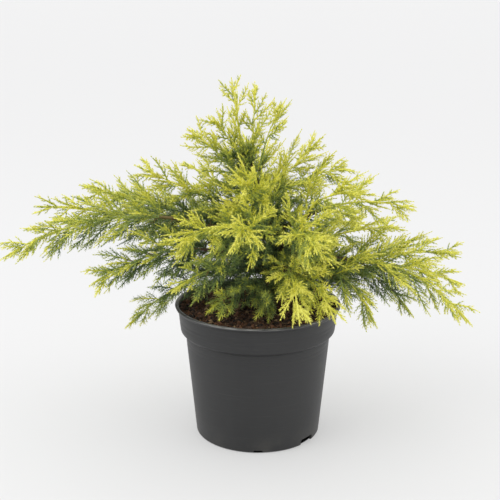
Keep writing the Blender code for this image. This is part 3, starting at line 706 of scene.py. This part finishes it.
def notch_cutter(azimuth, width, low, high):
    """A block with rounded upper edges that bites a drain opening out of the foot."""
    shape = bmesh.new()
    bmesh.ops.create_cube(shape, size=1.0)
    block = Matrix.Diagonal((NOTCH_DEPTH, width, high - low, 1.0))
    bmesh.ops.transform(shape, matrix=block, verts=shape.verts)
    upper = [edge for edge in shape.edges
             if all(corner.co.z > 0 for corner in edge.verts)
             and abs(edge.verts[0].co.x - edge.verts[1].co.x) > NOTCH_DEPTH / 2]
    rounded = (high - low) * NOTCH_ROUND
    bmesh.ops.bevel(shape, geom=upper, offset=rounded, segments=4, profile=0.5, affect="EDGES")
    turn = Matrix.Rotation(math.radians(azimuth), 4, "Z")
    place = Matrix.Translation((BODY_FOOT_RADIUS, 0.0, (low + high) / 2))
    bmesh.ops.transform(shape, matrix=turn @ place, verts=shape.verts)
    return linked("notch_cutter", mesh_of(shape, "notch_cutter"))


def make_pot():
    maker = turned("pot_shell", pot_profile(), POT_STEPS)
    cutters = [notch_cutter(*row) for row in DRAIN_NOTCHES]
    for cutter in cutters:
        cut = maker.modifiers.new("notch", "BOOLEAN")
        cut.operation = "DIFFERENCE"
        cut.object = cutter
    mesh = applied(maker, "pot_shell")
    for cutter in cutters:
        bpy.data.objects.remove(cutter)
    mesh.shade_smooth()
    mesh.set_sharp_from_angle(angle=math.radians(SHARP_ANGLE))
    add_piece("pot_shell", mesh, [pot_finish()], ["pot"])


def peat_height(x, y):
    """Height of the lumpy surface over a place. It rises to the wall."""
    share = max(0.0, math.hypot(x, y) - SOIL_FLAT_RADIUS) / (PEAT_RADIUS - SOIL_FLAT_RADIUS)
    height = SOIL_TOP + (SOIL_EDGE - SOIL_TOP) * share
    for scale, place, lift in PEAT_LUMPS:
        height += lift * noise.noise(Vector((x * scale, y * scale, place)))
    return height


def make_peat():
    """A lumpy top over the solid's flat one, with a short skirt down the wall of the pot."""
    turns = np.arange(PEAT_SPOKES) * math.tau / PEAT_SPOKES
    points = [(0.0, 0.0, peat_height(0.0, 0.0))]
    for share in np.linspace(0.0, 1.0, PEAT_RINGS + 1)[1:]:
        for turn in turns:
            x = PEAT_RADIUS * share * math.cos(turn)
            y = PEAT_RADIUS * share * math.sin(turn)
            points.append((x, y, peat_height(x, y)))
    low = SOIL_TOP - PEAT_SKIRT
    inset = (inner_radius(low) - GAP) / PEAT_RADIUS
    points += [(x * inset, y * inset, low) for x, y, _ in points[-PEAT_SPOKES:]]
    points.append((0.0, 0.0, low))
    rings, here, after = between_rings(PEAT_RINGS + 1, PEAT_SPOKES)
    skirt = 1 + PEAT_RINGS * PEAT_SPOKES
    faces = [np.stack((np.zeros(PEAT_SPOKES, int), 1 + here, 1 + after), 1)]
    faces.append(1 + np.concatenate(rings)[:, ::-1])
    faces.append(np.stack((skirt + after, skirt + here, np.full(PEAT_SPOKES, len(points) - 1)), 1))
    mesh = mesh_from("peat_top", np.array(points), np.concatenate(faces), smooth=True)
    add_piece("peat_top", mesh, [peat_finish()], ["soil"])


def peat_place(dice, inset):
    """A chance place on the peat, at least so far in from the wall."""
    reach = (PEAT_RADIUS - inset) * math.sqrt(dice.uniform(0.0, 1.0))
    turn = dice.uniform(0.0, math.tau)
    x = reach * math.cos(turn)
    y = reach * math.sin(turn)
    return np.array((x, y, peat_height(x, y)))


def make_crumbs(dice):
    shape = bmesh.new()
    bmesh.ops.create_icosphere(shape, subdivisions=1, radius=1.0)
    lump = np.array([corner.co for corner in shape.verts])
    lump_faces = np.array([[corner.index for corner in face.verts] for face in shape.faces])
    shape.free()
    crumbs = Batch()
    for _ in range(CRUMBS):
        size = CRUMB_LEAST + CRUMB_RANGE * dice.random() ** 3
        stretch = np.array([size * dice.uniform(*CRUMB_STRETCH) for _ in range(3)])
        rough = np.array([dice.uniform(*CRUMB_ROUGHNESS) for _ in lump])[:, None]
        turn = np.array(Matrix.Rotation(dice.uniform(0, math.tau), 3, "Z"))
        place = peat_place(dice, 0.0015 + size * 1.4)
        place[2] += size * 0.25
        tint = dice.choices(range(len(PEAT_TINTS)), CRUMB_SHARES)[0]
        crumbs.add((lump * stretch * rough) @ turn.T + place, lump_faces, tint)
    return crumbs


def make_fibres(dice):
    fibres = Batch()
    steps = len(FIBRE_TAPER) - 1
    for _ in range(FIBRES):
        length = dice.uniform(*FIBRE_LENGTHS)
        turn = dice.uniform(0.0, math.tau)
        bend = dice.uniform(-FIBRE_BEND, FIBRE_BEND)
        place = peat_place(dice, FIBRE_INSET)
        knots = []
        for step in range(steps + 1):
            angle = turn + bend * step / steps
            knots.append(place.copy())
            place = place + np.array((math.cos(angle), math.sin(angle), 0.0)) * length / steps
            arch = FIBRE_ARCH * math.sin(math.pi * step / steps)
            place[2] = peat_height(place[0], place[1]) + FIBRE_LIFT + arch
        radii = np.array(FIBRE_TAPER) * dice.uniform(*FIBRE_RADII)
        tint = dice.choices(range(len(PEAT_TINTS)), FIBRE_SHARES)[0]
        fibres.add(*tube(np.array(knots), radii, 3), tint)
    return fibres


def make_peat_litter():
    """Crumbs of peat and bark, and fibres, lying on the surface."""
    dice = random.Random(PEAT_SEED)
    finishes = [Finish(name, colour, roughness=0.95).material for name, colour in PEAT_TINTS]
    add_piece("peat_crumbs", make_crumbs(dice).mesh("peat_crumbs"), finishes)
    add_piece("peat_fibres", make_fibres(dice).mesh("peat_fibres"), finishes)


# ---------------------------------------------------------------- limbs, as in the solids
def trunk_line(count):
    """Points of the trunk's centre line. It leaves the peat upright."""
    points = []
    for step in range(count):
        share = step / (count - 1)
        straight = TRUNK_FOOT.lerp(TRUNK_TOP, share)
        points.append(straight + TRUNK_BOW * math.sin(math.pi * share))
    upright = points[1].copy()
    upright.x = TRUNK_FOOT.x
    upright.y = TRUNK_FOOT.y
    points[1] = upright
    return points


def trunk_radius(share):
    flare = 1.0 + (ROOT_FLARE - 1.0) * math.exp(-share * FLARE_FALL)
    return (TRUNK_RADIUS + (TRUNK_TIP_RADIUS - TRUNK_RADIUS) * share) * flare


def on_trunk(height):
    """The trunk's centre, direction and radius at a height."""
    points = trunk_line(TRUNK_KNOTS)
    for number, (low, high) in enumerate(zip(points, points[1:])):
        if low.z <= height <= high.z:
            along_it = (height - low.z) / (high.z - low.z)
            share = (number + along_it) / (TRUNK_KNOTS - 1)
            return low.lerp(high, along_it), (high - low).normalized(), trunk_radius(share)
    return points[-1], (points[-1] - points[-2]).normalized(), TRUNK_TIP_RADIUS


def compass(azimuth):
    return Vector((math.cos(math.radians(azimuth)), math.sin(math.radians(azimuth)), 0.0))


def limb_line(azimuth, reach, rise, leave, arch, radius):
    """A function of 0 to 1 along a limb's centre line, from the trunk's bark to its tip."""
    centre, upward, trunk = on_trunk(leave)
    tip = compass(azimuth) * reach * CROWN_REACH
    tip.z = SOIL_TOP + rise * (CROWN_TOP - SOIL_TOP)
    outward = Vector((tip.x - centre.x, tip.y - centre.y, 0.0))
    outward = (outward - upward * outward.dot(upward)).normalized()
    start = centre + outward * (trunk + GAP)
    for _ in range(3):
        middle = (start + tip) / 2 + Vector((0.0, 0.0, 2 * arch))
        leaving = (middle - start).normalized()
        tilt = math.sqrt(max(0.0, 1.0 - leaving.dot(outward) ** 2))
        start = centre + outward * (trunk + GAP + radius * tilt)

    def point(share):
        return (1 - share) ** 2 * start + 2 * share * (1 - share) * middle + share ** 2 * tip

    return point


def sampled(line, start, end, count):
    return [line(start + (end - start) * step / (count - 1)) for step in range(count)]


def length_of(points):
    return sum((b - a).length for a, b in zip(points, points[1:]))


class Plume:
    """The plan of one mass: its stem's line, its radius and how far its shoots spread."""

    def __init__(self, name, points, radius, spread):
        self.name = name
        self.points = points
        self.radius = radius
        self.spread = spread
        self.length = length_of(points)
        steps = range(SPACE_STEPS + 1)
        self.places = np.array([along(points, step / SPACE_STEPS)[0] for step in steps])
        self.shoots = []


def along(points, share):
    """The place and the direction at a share of a line's knots."""
    place = min(share, 0.9999) * (len(points) - 1)
    number = int(place)
    start, end = points[number], points[number + 1]
    return start.lerp(end, place - number), (end - start).normalized()


def plan_limbs():
    """The boughs, as (name, points, radius), and the plumes."""
    plumes = []
    boughs = []
    for name, row in BOUGHS.items():
        azimuth, reach, rise, leave, arch, wood, spread, radius = row
        line = limb_line(azimuth, reach, rise, leave, arch, radius)
        boughs.append((name, sampled(line, 0.0, wood + BOUGH_OVERLAP, BOUGH_KNOTS), radius))
        plumes.append(Plume(name, sampled(line, wood, 1.0, STEM_KNOTS), BOUGH_TIP_RADIUS, spread))
    for name, row in SHORT_LIMBS.items():
        azimuth, reach, rise, leave, arch, spread, radius = row
        line = limb_line(azimuth, reach, rise, leave, arch, radius)
        plumes.append(Plume(name, sampled(line, 0.0, 1.0, STEM_KNOTS), radius, spread))
    last = trunk_line(TRUNK_KNOTS)[-1]
    stem = [last.lerp(LEADER_TIP, step / (STEM_KNOTS - 1)) for step in range(STEM_KNOTS)]
    plumes.append(Plume("leader", stem, LEADER_RADIUS, LEADER_SPREAD))
    return boughs, plumes


def bark_tube(knots, radii, sides, spacing, seed):
    """A tapering limb whose bark stands up in lengthwise strips."""
    knots = np.array([tuple(knot) for knot in knots])
    lengths = np.concatenate(([0.0], np.cumsum(np.linalg.norm(np.diff(knots, axis=0), axis=1))))
    count = max(6, int(lengths[-1] / spacing))
    stops = np.linspace(0.0, lengths[-1], count)
    centres = np.stack([np.interp(stops, lengths, knots[:, axis]) for axis in range(3)], 1)
    for _ in range(3):
        centres[1:-1] = (centres[:-2] + 2 * centres[1:-1] + centres[2:]) / 4
    thickness = np.interp(stops, lengths, radii)
    points, faces = tube(centres, thickness, sides)
    for ring in range(count):
        for number in range(sides):
            turn = math.tau * number / sides
            place = Vector((math.cos(turn) * BARK_STRIPS, math.sin(turn) * BARK_STRIPS,
                            stops[ring] * BARK_BREAKS + seed))
            strip = noise.noise(place) + 0.5 * noise.noise(place * 2.3)
            corner = ring * sides + number
            outward = points[corner] - centres[ring]
            points[corner] = centres[ring] + outward * (1.0 + BARK_RELIEF * strip)
    return points, faces


def make_wood(boughs):
    bark = bark_finish()
    knots = trunk_line(TRUNK_KNOTS)
    radii = [trunk_radius(step / (TRUNK_KNOTS - 1)) for step in range(TRUNK_KNOTS)]
    points, faces = bark_tube(knots, radii, *TRUNK_MESH, 0.0)
    mesh = mesh_from("trunk_bark", points, faces, smooth=True)
    add_piece("trunk_bark", mesh, [bark], ["trunk"])
    limbs = Batch()
    for number, (name, points, radius) in enumerate(boughs):
        root, second = points[:2]
        points = [root + (root - second).normalized() * BOUGH_ROOT] + points
        radii = np.linspace(radius, BOUGH_TIP_RADIUS, len(points))
        limbs.add(*bark_tube(points, radii, *BOUGH_MESH, 10.0 + number), 0)
    mesh = limbs.mesh("bough_bark", smooth=True)
    add_piece("bough_bark", mesh, [bark], [f"bough_{name}" for name, *_ in boughs])


# ---------------------------------------------------------------- shoots
class Shoot:
    """A shoot's line of points, and the plane that its finer shoots lie in."""

    def __init__(self, points, side, radius, order, tipness=0.0):
        self.points = points
        self.side = side
        self.radius = radius
        self.order = order
        self.tipness = tipness
        steps = np.linalg.norm(np.diff(points, axis=0), axis=1)
        self.stops = np.concatenate(([0.0], np.cumsum(steps)))
        self.length = float(self.stops[-1])

    def at(self, shares, values=None):
        """The line's points, or values given for its knots, at shares of its length."""
        rows = self.points.T if values is None else values[None]
        found = np.array([np.interp(np.multiply(shares, self.length), self.stops, row) for row in rows])
        return found.T if values is None else found[0]


def curved(root, direction, bow, length, count):
    """Points of a shoot that leaves its stem wide and then swings forward to its tip."""
    shares = np.linspace(0.0, 1.0, count)[:, None]
    points = root + direction * (length * shares) + bow * (length * np.sin(math.pi * shares))
    points[:, 2] -= NOD * length * shares[:, 0] ** 2
    return points


def plume_profile(share):
    """Length of the side shoots along a stem, as a share of the longest."""
    return math.sin(math.pi * (0.40 + 0.50 * share))


class Crowd:
    """What a shoot has to keep clear of: other masses' space, the wood, the pot and the peat."""

    def __init__(self, boughs, plumes):
        self.places = np.concatenate([plume.places for plume in plumes])
        self.owners = np.repeat(np.arange(len(plumes)), [len(plume.places) for plume in plumes])
        self.spreads = np.array([plumes[owner].spread for owner in self.owners])
        wood = []
        for step in range(TRUNK_CHECKS):
            share = step / (TRUNK_CHECKS - 1)
            wood.append((*along(trunk_line(TRUNK_KNOTS), share)[0], trunk_radius(share)))
        for _, points, radius in boughs:
            for step in range(BOUGH_CHECKS):
                share = step / (BOUGH_CHECKS - 1)
                thickness = radius + (BOUGH_TIP_RADIUS - radius) * share
                wood.append((*along(points, share)[0], thickness))
        wood = np.array(wood)
        self.wood = wood[:, :3]
        self.wood_radii = wood[:, 3]

    def keeps_to_space(self, points, owner):
        """True where no point is well inside the space of another mass."""
        away = np.linalg.norm(points[:, None] - self.places[None], axis=2) / self.spreads
        own = away[:, self.owners == owner].min(axis=1) * SHARED_SPACE
        other = away[:, self.owners != owner].min(axis=1)
        return bool((other >= own).all())

    def has_room(self, points):
        """True where no point touches the wood, the pot or the peat."""
        away = np.linalg.norm(points[:, None] - self.wood[None], axis=2) - self.wood_radii
        reach = np.linalg.norm(points[:, :2], axis=1)
        height = points[:, 2]
        over = height > POT_HEIGHT + POT_ROOM
        inside = (reach < RIM_RADIUS - LIP_WIDTH - POT_ROOM) & (height > SOIL_EDGE + POT_ROOM)
        outside = reach > RIM_RADIUS + POT_ROOM
        return bool((away > WOOD_ROOM).all() and (over | inside | outside).all())


def leaving(forward, outward, angle):
    """The direction at an angle to forward, turned outward."""
    return (forward * math.cos(angle) + outward * math.sin(angle)).normalized()


def side_shoots(plume, owner, crowd, dice, offset, size):
    """Shoots round a stem, by the rule that sets the blades of the solids."""
    count = max(3, round(plume.length / BLADE_SPACING))
    turn = dice.uniform(0, 360)
    for number in range(count + 1):
        share = FIRST_BLADE + (LAST_BLADE - FIRST_BLADE) * min(count, number + offset) / count
        root, forward = along(plume.points, share)
        level = forward.cross(Vector((0.0, 0.0, 1.0)))
        across = level.normalized() if level.length > NEARLY_UPRIGHT else Vector((1.0, 0.0, 0.0))
        turn += BLADE_TURN + dice.uniform(-STRAY_TURN, STRAY_TURN)
        outward = Quaternion(forward, math.radians(turn)) @ across
        angle = math.radians(BLADE_ANGLE + dice.uniform(-STRAY_ANGLE, STRAY_ANGLE) - CLOSING * share)
        direction = leaving(forward, outward, angle)
        normal = forward.cross(outward)
        full = plume.spread * plume_profile(share) * size
        full *= dice.uniform(1 - STRAY_LENGTH, 1 + STRAY_LENGTH)
        left = plume.length * (1.0 - share) + OVERSHOOT
        full = min(full, left / math.cos(angle))
        if number == count:
            if offset:
                break
            full = max(LEAST_END_BLADE, plume.spread * END_BLADE)
            root = plume.points[-1] - forward * full * (1.0 - END_BLADE_SUNK)
            direction = forward
            normal = forward.cross(across).normalized()
        roll = math.radians(dice.uniform(-STRAY_ROLL, STRAY_ROLL))
        normal = Quaternion(direction, roll) @ normal
        side = normal.cross(direction).normalized()
        bow = np.array(outward) * SIDE_BOW if number < count else np.zeros(3)
        for shrink in BLADE_SIZES:
            length = full * shrink
            if length < LEAST_SIDE:
                break
            points = curved(np.array(root), np.array(direction), bow, length, SIDE_KNOTS)
            outer = points[2:]
            if number < count and not crowd.keeps_to_space(outer, owner):
                continue
            if crowd.has_room(outer):
                plume.shoots.append(Shoot(points, np.array(side), SIDE_RADIUS, 1, share))
                break


def spurs(plume, wood, first, spacing, crowd, dice):
    """Short leafy shoots on a bough or the trunk, from the share first on. They hide its wood."""
    count = round(length_of(wood) * (1.0 - first) / spacing)
    turn = dice.uniform(0, 360)
    for number in range(count):
        share = first + (1.0 - first) * number / count
        root, forward = along(wood, share)
        across = forward.cross(SPUR_HELPER).normalized()
        turn += BLADE_TURN + dice.uniform(-SPUR_STRAY, SPUR_STRAY)
        outward = Quaternion(forward, math.radians(turn)) @ across
        direction = leaving(forward, outward, math.radians(dice.uniform(*SPUR_ANGLES)))
        side = forward.cross(outward).cross(direction).normalized()
        bow = np.array(outward) * SIDE_BOW
        for shrink in SPUR_SIZES:
            length = SPUR_LENGTH * dice.uniform(*SPUR_LENGTHS) * shrink
            points = curved(np.array(root), np.array(direction), bow, length, SIDE_KNOTS)
            if crowd.has_room(points[2:]):
                plume.shoots.append(Shoot(points, np.array(side), SIDE_RADIUS, 1, 0.0))
                break


def finer_shoots(shoot, crowd, dice):
    """Shoots in two rows along a side shoot, and a few out of their plane. Its tip has none."""
    found = []
    count = max(2, round(shoot.length / FINE_SPACING))
    hand = dice.choice((-1, 1))
    for number in range(count):
        stray = dice.uniform(-FINE_STRAY, FINE_STRAY)
        share = FIRST_FINE + (LAST_FINE - FIRST_FINE) * (number + stray) / count
        share = max(FIRST_FINE, share)
        root, ahead = shoot.at([share])[0], shoot.at([share + 0.1])[0]
        ahead = (ahead - root) / np.linalg.norm(ahead - root)
        hand = -hand
        square = 90 if (number + 1) % SQUARE_EVERY == 0 else 0
        tilt = math.radians(dice.gauss(0, FINE_TILT) + square)
        up = np.cross(ahead, shoot.side)
        outward = shoot.side * (hand * math.cos(tilt)) + up * math.sin(tilt)
        outward -= ahead * outward.dot(ahead)
        outward /= np.linalg.norm(outward)
        angle = math.radians(TOOTH_ANGLE + dice.uniform(*TOOTH_STRAYS) - FINE_CLOSING * share)
        direction = ahead * math.cos(angle) + outward * math.sin(angle)
        length = shoot.length * FINE_LENGTH * (1.0 - share) ** FINE_TAPER
        length *= dice.uniform(*FINE_SIZES)
        length = min(MOST_FINE, max(LEAST_FINE, length))
        points = curved(root, direction, outward * FINE_BOW, length, FINE_KNOTS)
        if crowd.has_room(points[1:]):
            side = np.cross(direction, np.cross(outward, ahead))
            found.append(Shoot(points, side, FINE_RADIUS, 2, share))
    return found


def plan_shoots(boughs, plumes, crowd):
    wood_of = {name: (points, *BOUGH_SPURS) for name, points, _ in boughs}
    wood_of["leader"] = (trunk_line(TRUNK_KNOTS), *TRUNK_SPURS)
    for owner, plume in enumerate(plumes):
        rows = SHOOT_ROWS if plume.name in FULL_MASSES else SHOOT_ROWS[:2]
        for seed, offset, size in rows:
            side_shoots(plume, owner, crowd, random.Random(seed + owner), offset, size)
        if plume.name in wood_of:
            spurs(plume, *wood_of[plume.name], crowd, random.Random(SPUR_SEED + owner))
        dice = random.Random(FINE_SEED + owner)
        for shoot in list(plume.shoots):
            plume.shoots += finer_shoots(shoot, crowd, dice)
        stem = np.array([tuple(point) for point in plume.points])
        plume.stem = Shoot(stem, np.array((0.0, 0.0, 1.0)), plume.radius, 0)


# ---------------------------------------------------------------- light in the crown
def sky_directions():
    """Directions light comes from: straight down and two rings of slanting ones, with weights."""
    found = [((0.0, 0.0, 1.0), ZENITH_LIGHT)]
    for height, count, weight in SKY_RINGS:
        for number in range(count):
            turn = math.tau * number / count
            flat = math.cos(math.radians(height))
            rise = math.sin(math.radians(height))
            found.append(((flat * math.cos(turn), flat * math.sin(turn), rise), weight))
    return found


def crown_light(plumes):
    """A function that gives how well lit some points are, from 0 in deep shade to 1 in the open."""
    every = [shoot for plume in plumes for shoot in plume.shoots]
    middles = np.array([shoot.points.mean(axis=0) for shoot in every])
    weights = np.array([shoot.length for shoot in every])
    low = middles.min(axis=0) - 2 * CELL
    size = np.ceil((middles.max(axis=0) - low) / CELL).astype(int) + 2
    cells = ((middles - low) / CELL).astype(int)
    density = np.zeros(size)
    np.add.at(density, tuple(cells.T), weights)

    def light(points):
        total = np.zeros(len(points))
        full = 0.0
        for direction, weight in sky_directions():
            depth = np.zeros(len(points))
            for step in range(1, LIGHT_STEPS + 1):
                spot = points + np.array(direction) * (CELL * (step + 0.2))
                cell = ((spot - low) / CELL).astype(int)
                held = ((cell >= 0) & (cell < size)).all(axis=1)
                cell = np.clip(cell, 0, size - 1)
                depth += np.where(held, density[tuple(cell.T)], 0.0)
            total += weight * np.exp(-depth * ABSORBED)
            full += weight
        return np.clip((total / full - DIM) / (BRIGHT - DIM), 0.0, 1.0)

    return light


# ---------------------------------------------------------------- needles
def mean_of(young, adult, share):
    """A value between that of a shaded, needly shoot and that of a sunlit, scaly one."""
    return young + (adult - young) * share


def needles_on(shoot, light, golden, age, chance):
    """Corners, faces and tints of the needles on one shoot, in whorls of three.

    The needles of a lit shoot are short, broad and close to it. In the shade and on young
    shoots they are long and stand off. At age 1 a shoot's tip is golden, and its upper side
    is more golden too: partly its own colour in the sun, partly painted light from above.
    """
    light = light * age
    spacing = mean_of(*WHORL_SPACINGS, float(light.mean()))
    count = max(2, round(shoot.length / spacing))
    shares = (np.arange(count) + 0.55) / count
    shares = shares[shares > BARE_FEET[shoot.order]]
    whorl = np.repeat(np.arange(len(shares)), 3)
    total = len(whorl)
    spots = shoot.at(shares)
    ahead, side, up = (axis[whorl] for axis in frames_along(spots))
    tip = shares[whorl]
    lit = shoot.at(shares, light)[whorl]
    turn = (chance.uniform(0, math.tau) + whorl * math.radians(60)
            + np.tile(np.arange(3), len(shares)) * math.radians(120)
            + chance.normal(0, TURN_STRAY, total))
    lean = np.radians(mean_of(*NEEDLE_LEANS, lit) + chance.normal(0, LEAN_STRAY, total))
    lean *= 1.0 - TIP_LEAN_LOST * tip ** 3
    length = mean_of(*NEEDLE_LENGTHS, lit) * (1.0 - TIP_LENGTH_LOST * tip ** 3)
    length = (length * chance.uniform(*NEEDLE_SIZES, total))[:, None]
    width = mean_of(*NEEDLE_HALF_WIDTHS, lit)[:, None]
    outward = side * np.cos(turn)[:, None] + up * np.sin(turn)[:, None]
    direction = ahead * np.cos(lean)[:, None] + outward * np.sin(lean)[:, None]
    across = np.cross(ahead, outward)
    root = spots[whorl] + outward * (shoot.radius * 0.4 * (1.0 - tip))[:, None]
    ridge = root + outward * width * NEEDLE_RIDGE
    point = root + direction * length
    corners = np.stack((root + across * width, root - across * width, ridge, point), 1).reshape(-1, 3)
    pattern = np.array(((0, 1, 2), (1, 3, 2), (2, 3, 0), (0, 3, 1)))
    faces = (np.arange(total)[:, None, None] * 4 + pattern[None]).reshape(-1, 3)
    # partly painted light: a needle that faces up gets a more golden tint, as if lit from above
    gilding_and_painted_light = TIP_GOLD * (tip - 0.5) + UPPER_GOLD_AND_PAINTED_LIGHT * outward[:, 2]
    level = shoot.at(shares, golden)[whorl] + age * gilding_and_painted_light
    level += chance.normal(0, NEEDLE_VARIETY, total)
    return corners, faces, np.repeat(tint_numbers(level), 4)


def tint_numbers(level):
    """Numbers of the nearest of the tints."""
    return np.clip(np.round(level), 0, len(TINTS) - 1).astype(int)


def twig_tints(shoot, light, golden, sides):
    """Finish numbers for a twig's faces: brown wood, then tan, then the tint of its needles.

    A stem out in the light is leafy almost down to its root.
    """
    rings = len(shoot.points) - 1
    share = (np.arange(rings) + 0.5) / rings
    woody = WOODY[shoot.order] * (1.1 - float(light.mean()))
    green = tint_numbers(golden[1:] - TWIG_SHADE)
    ring = np.where(share < woody, len(TINTS), np.where(share < woody * 2, len(TINTS) + 1, green))
    counts = [sides * 2] * (rings - 1) + [sides]
    return np.concatenate((np.repeat(ring, counts), np.full(sides - 2, ring[0])))


def make_foliage(plumes):
    light_at = crown_light(plumes)
    needle_finish = needle_finishes()
    wood = [Finish(name, colour, roughness=0.85).material for name, colour in TWIG_TINTS]
    for number, plume in enumerate(plumes):
        chance = np.random.default_rng(NEEDLE_SEED + number)
        needles = Batch()
        twigs = Batch()
        every = [plume.stem] + plume.shoots
        lights = light_at(np.concatenate([shoot.points for shoot in every]))
        starts = np.cumsum([len(shoot.points) for shoot in every])[:-1]
        age = YOUNG if plume.name in YOUNG_MASSES else 1.0
        for shoot, light in zip(every, np.split(lights, starts)):
            share = np.linspace(0.0, 1.0, len(shoot.points)) if shoot.order == 0 else shoot.tipness
            level = LIGHT_GOLD * light + OUTER_GOLD * (share - 0.5) + MASS_TINT.get(plume.name, 0.0)
            golden = (len(TINTS) - 1) * level + chance.normal(0, SHOOT_VARIETY)
            needles.add(*needles_on(shoot, light, golden, age, chance))
            sides = TWIG_SIDES[shoot.order]
            tip_radius = shoot.radius * TWIG_TIP
            taper = np.linspace(1.0, 0.0, len(shoot.points)) ** TWIG_TAPERS[shoot.order]
            radii = tip_radius + (shoot.radius - tip_radius) * taper
            twigs.add(*spike(shoot.points, radii, sides), twig_tints(shoot, light, golden, sides))
        for kind, batch, finishes, slot in (("needles", needles, needle_finish, "foliage"),
                                            ("twigs", twigs, needle_finish + wood, "bark")):
            name = f"{kind}_{plume.name}"
            add_piece(name, batch.mesh(name), finishes, [f"foliage_{plume.name}"])


# ---------------------------------------------------------------- studio, camera and light
VIEW_PITCH = 15.24           # degrees that the camera looks down
VIEW_DISTANCE = 1.133
VIEW_TARGET = Vector((-0.0090, 0.0, 0.2167))
PAPER = (0.385, 0.385, 0.385)
PAPER_GLOW = (1.0, 1.0, 0.995)
PAINTED_SHADOW_EDGES = (BODY_FOOT_RADIUS - 0.0030, BODY_FOOT_RADIUS - 0.0046)   # of the shadow painted on the floor under the pot
# near-black tone of the painted shadow under the pot, seen through the drain notches
PAINTED_SHADOW_TONE = (0.004, 0.004, 0.004)
LIT_PLACE = Vector((0.0, 0.0, 0.22))
LENS = 72                    # millimetres, as the sensor
SENSOR = 36
FLOOR_RADIUS = 60.0
FLOOR_HEIGHT = -0.0002       # a little under the pot's foot
GLOW = 0.35
SKY_LIGHT = 1.45
FRONT_LOSS = 0.75            # of the sky's light, from the side that the plant is seen from
# Soft square lamps: name, place, width and power.
LAMPS = (("key", (-1.3, -0.9, 1.7), 1.3, 12.0), ("fill", (1.6, -0.5, 1.0), 1.2, 3.0))


def make_camera():
    data = bpy.data.cameras.new("camera")
    data.lens = LENS
    data.sensor_width = SENSOR
    camera = linked("camera", data)
    pitch = math.radians(VIEW_PITCH)
    back = Vector((0.0, -math.cos(pitch), math.sin(pitch)))
    camera.location = VIEW_TARGET + back * VIEW_DISTANCE
    camera.rotation_euler = (math.pi / 2 - pitch, 0.0, 0.0)
    bpy.context.scene.camera = camera


def make_floor():
    """Pale paper that glows a little, so that it is even. Under the pot it is near black and does not
    glow: a painted shadow.
    """
    shape = bmesh.new()
    bmesh.ops.create_circle(shape, cap_ends=True, segments=96, radius=FLOOR_RADIUS)
    mesh = mesh_of(shape, "studio_floor")
    floor = linked("studio_floor", mesh)
    floor.location.z = FLOOR_HEIGHT
    made = Finish("studio_paper", PAPER, roughness=0.9, specular=0.1)
    away = made.node("VectorMath", {"operation": "LENGTH"}, {0: made.place()}, output="Value")
    # painted shadow: the paper turns near black and stops glowing under the pot
    painted_shadow = away.within(*PAINTED_SHADOW_EDGES)
    made.colour(made.mixed(painted_shadow, PAPER, PAINTED_SHADOW_TONE))
    made.feed(made.shader.inputs["Emission Color"], made.mixed(painted_shadow, PAPER_GLOW, (0.0, 0.0, 0.0)))
    made.shader.inputs["Emission Strength"].default_value = GLOW
    mesh.materials.append(made.material)


def make_light():
    """Even light from all round, weaker from the front, and two soft lamps."""
    world = bpy.data.worlds.new("studio")
    sky = Nodes(world)
    level = sky.node("SeparateXYZ", inputs={"Vector": sky.node("TexCoord")}, output="Y")
    shaded = level.within(-0.2, -0.95)
    background = sky.tree.nodes["Background"]
    sky.feed(background.inputs["Color"], (0.99, 0.99, 1.0))
    sky.feed(background.inputs["Strength"], SKY_LIGHT - FRONT_LOSS * shaded)
    bpy.context.scene.world = world
    for name, place, width, power in LAMPS:
        data = bpy.data.lights.new(name, "AREA")
        data.shape = "SQUARE"
        data.size = width
        data.energy = power
        lamp = linked(name, data)
        lamp.location = place
        lamp.rotation_euler = (LIT_PLACE - Vector(place)).to_track_quat("-Z", "Y").to_euler()
    bpy.context.scene.view_settings.view_transform = "Standard"


def main():
    make_camera()
    make_floor()
    make_light()
    make_pot()
    make_peat()
    make_peat_litter()
    boughs, plumes = plan_limbs()
    make_wood(boughs)
    plan_shoots(boughs, plumes, Crowd(boughs, plumes))
    make_foliage(plumes)


main()
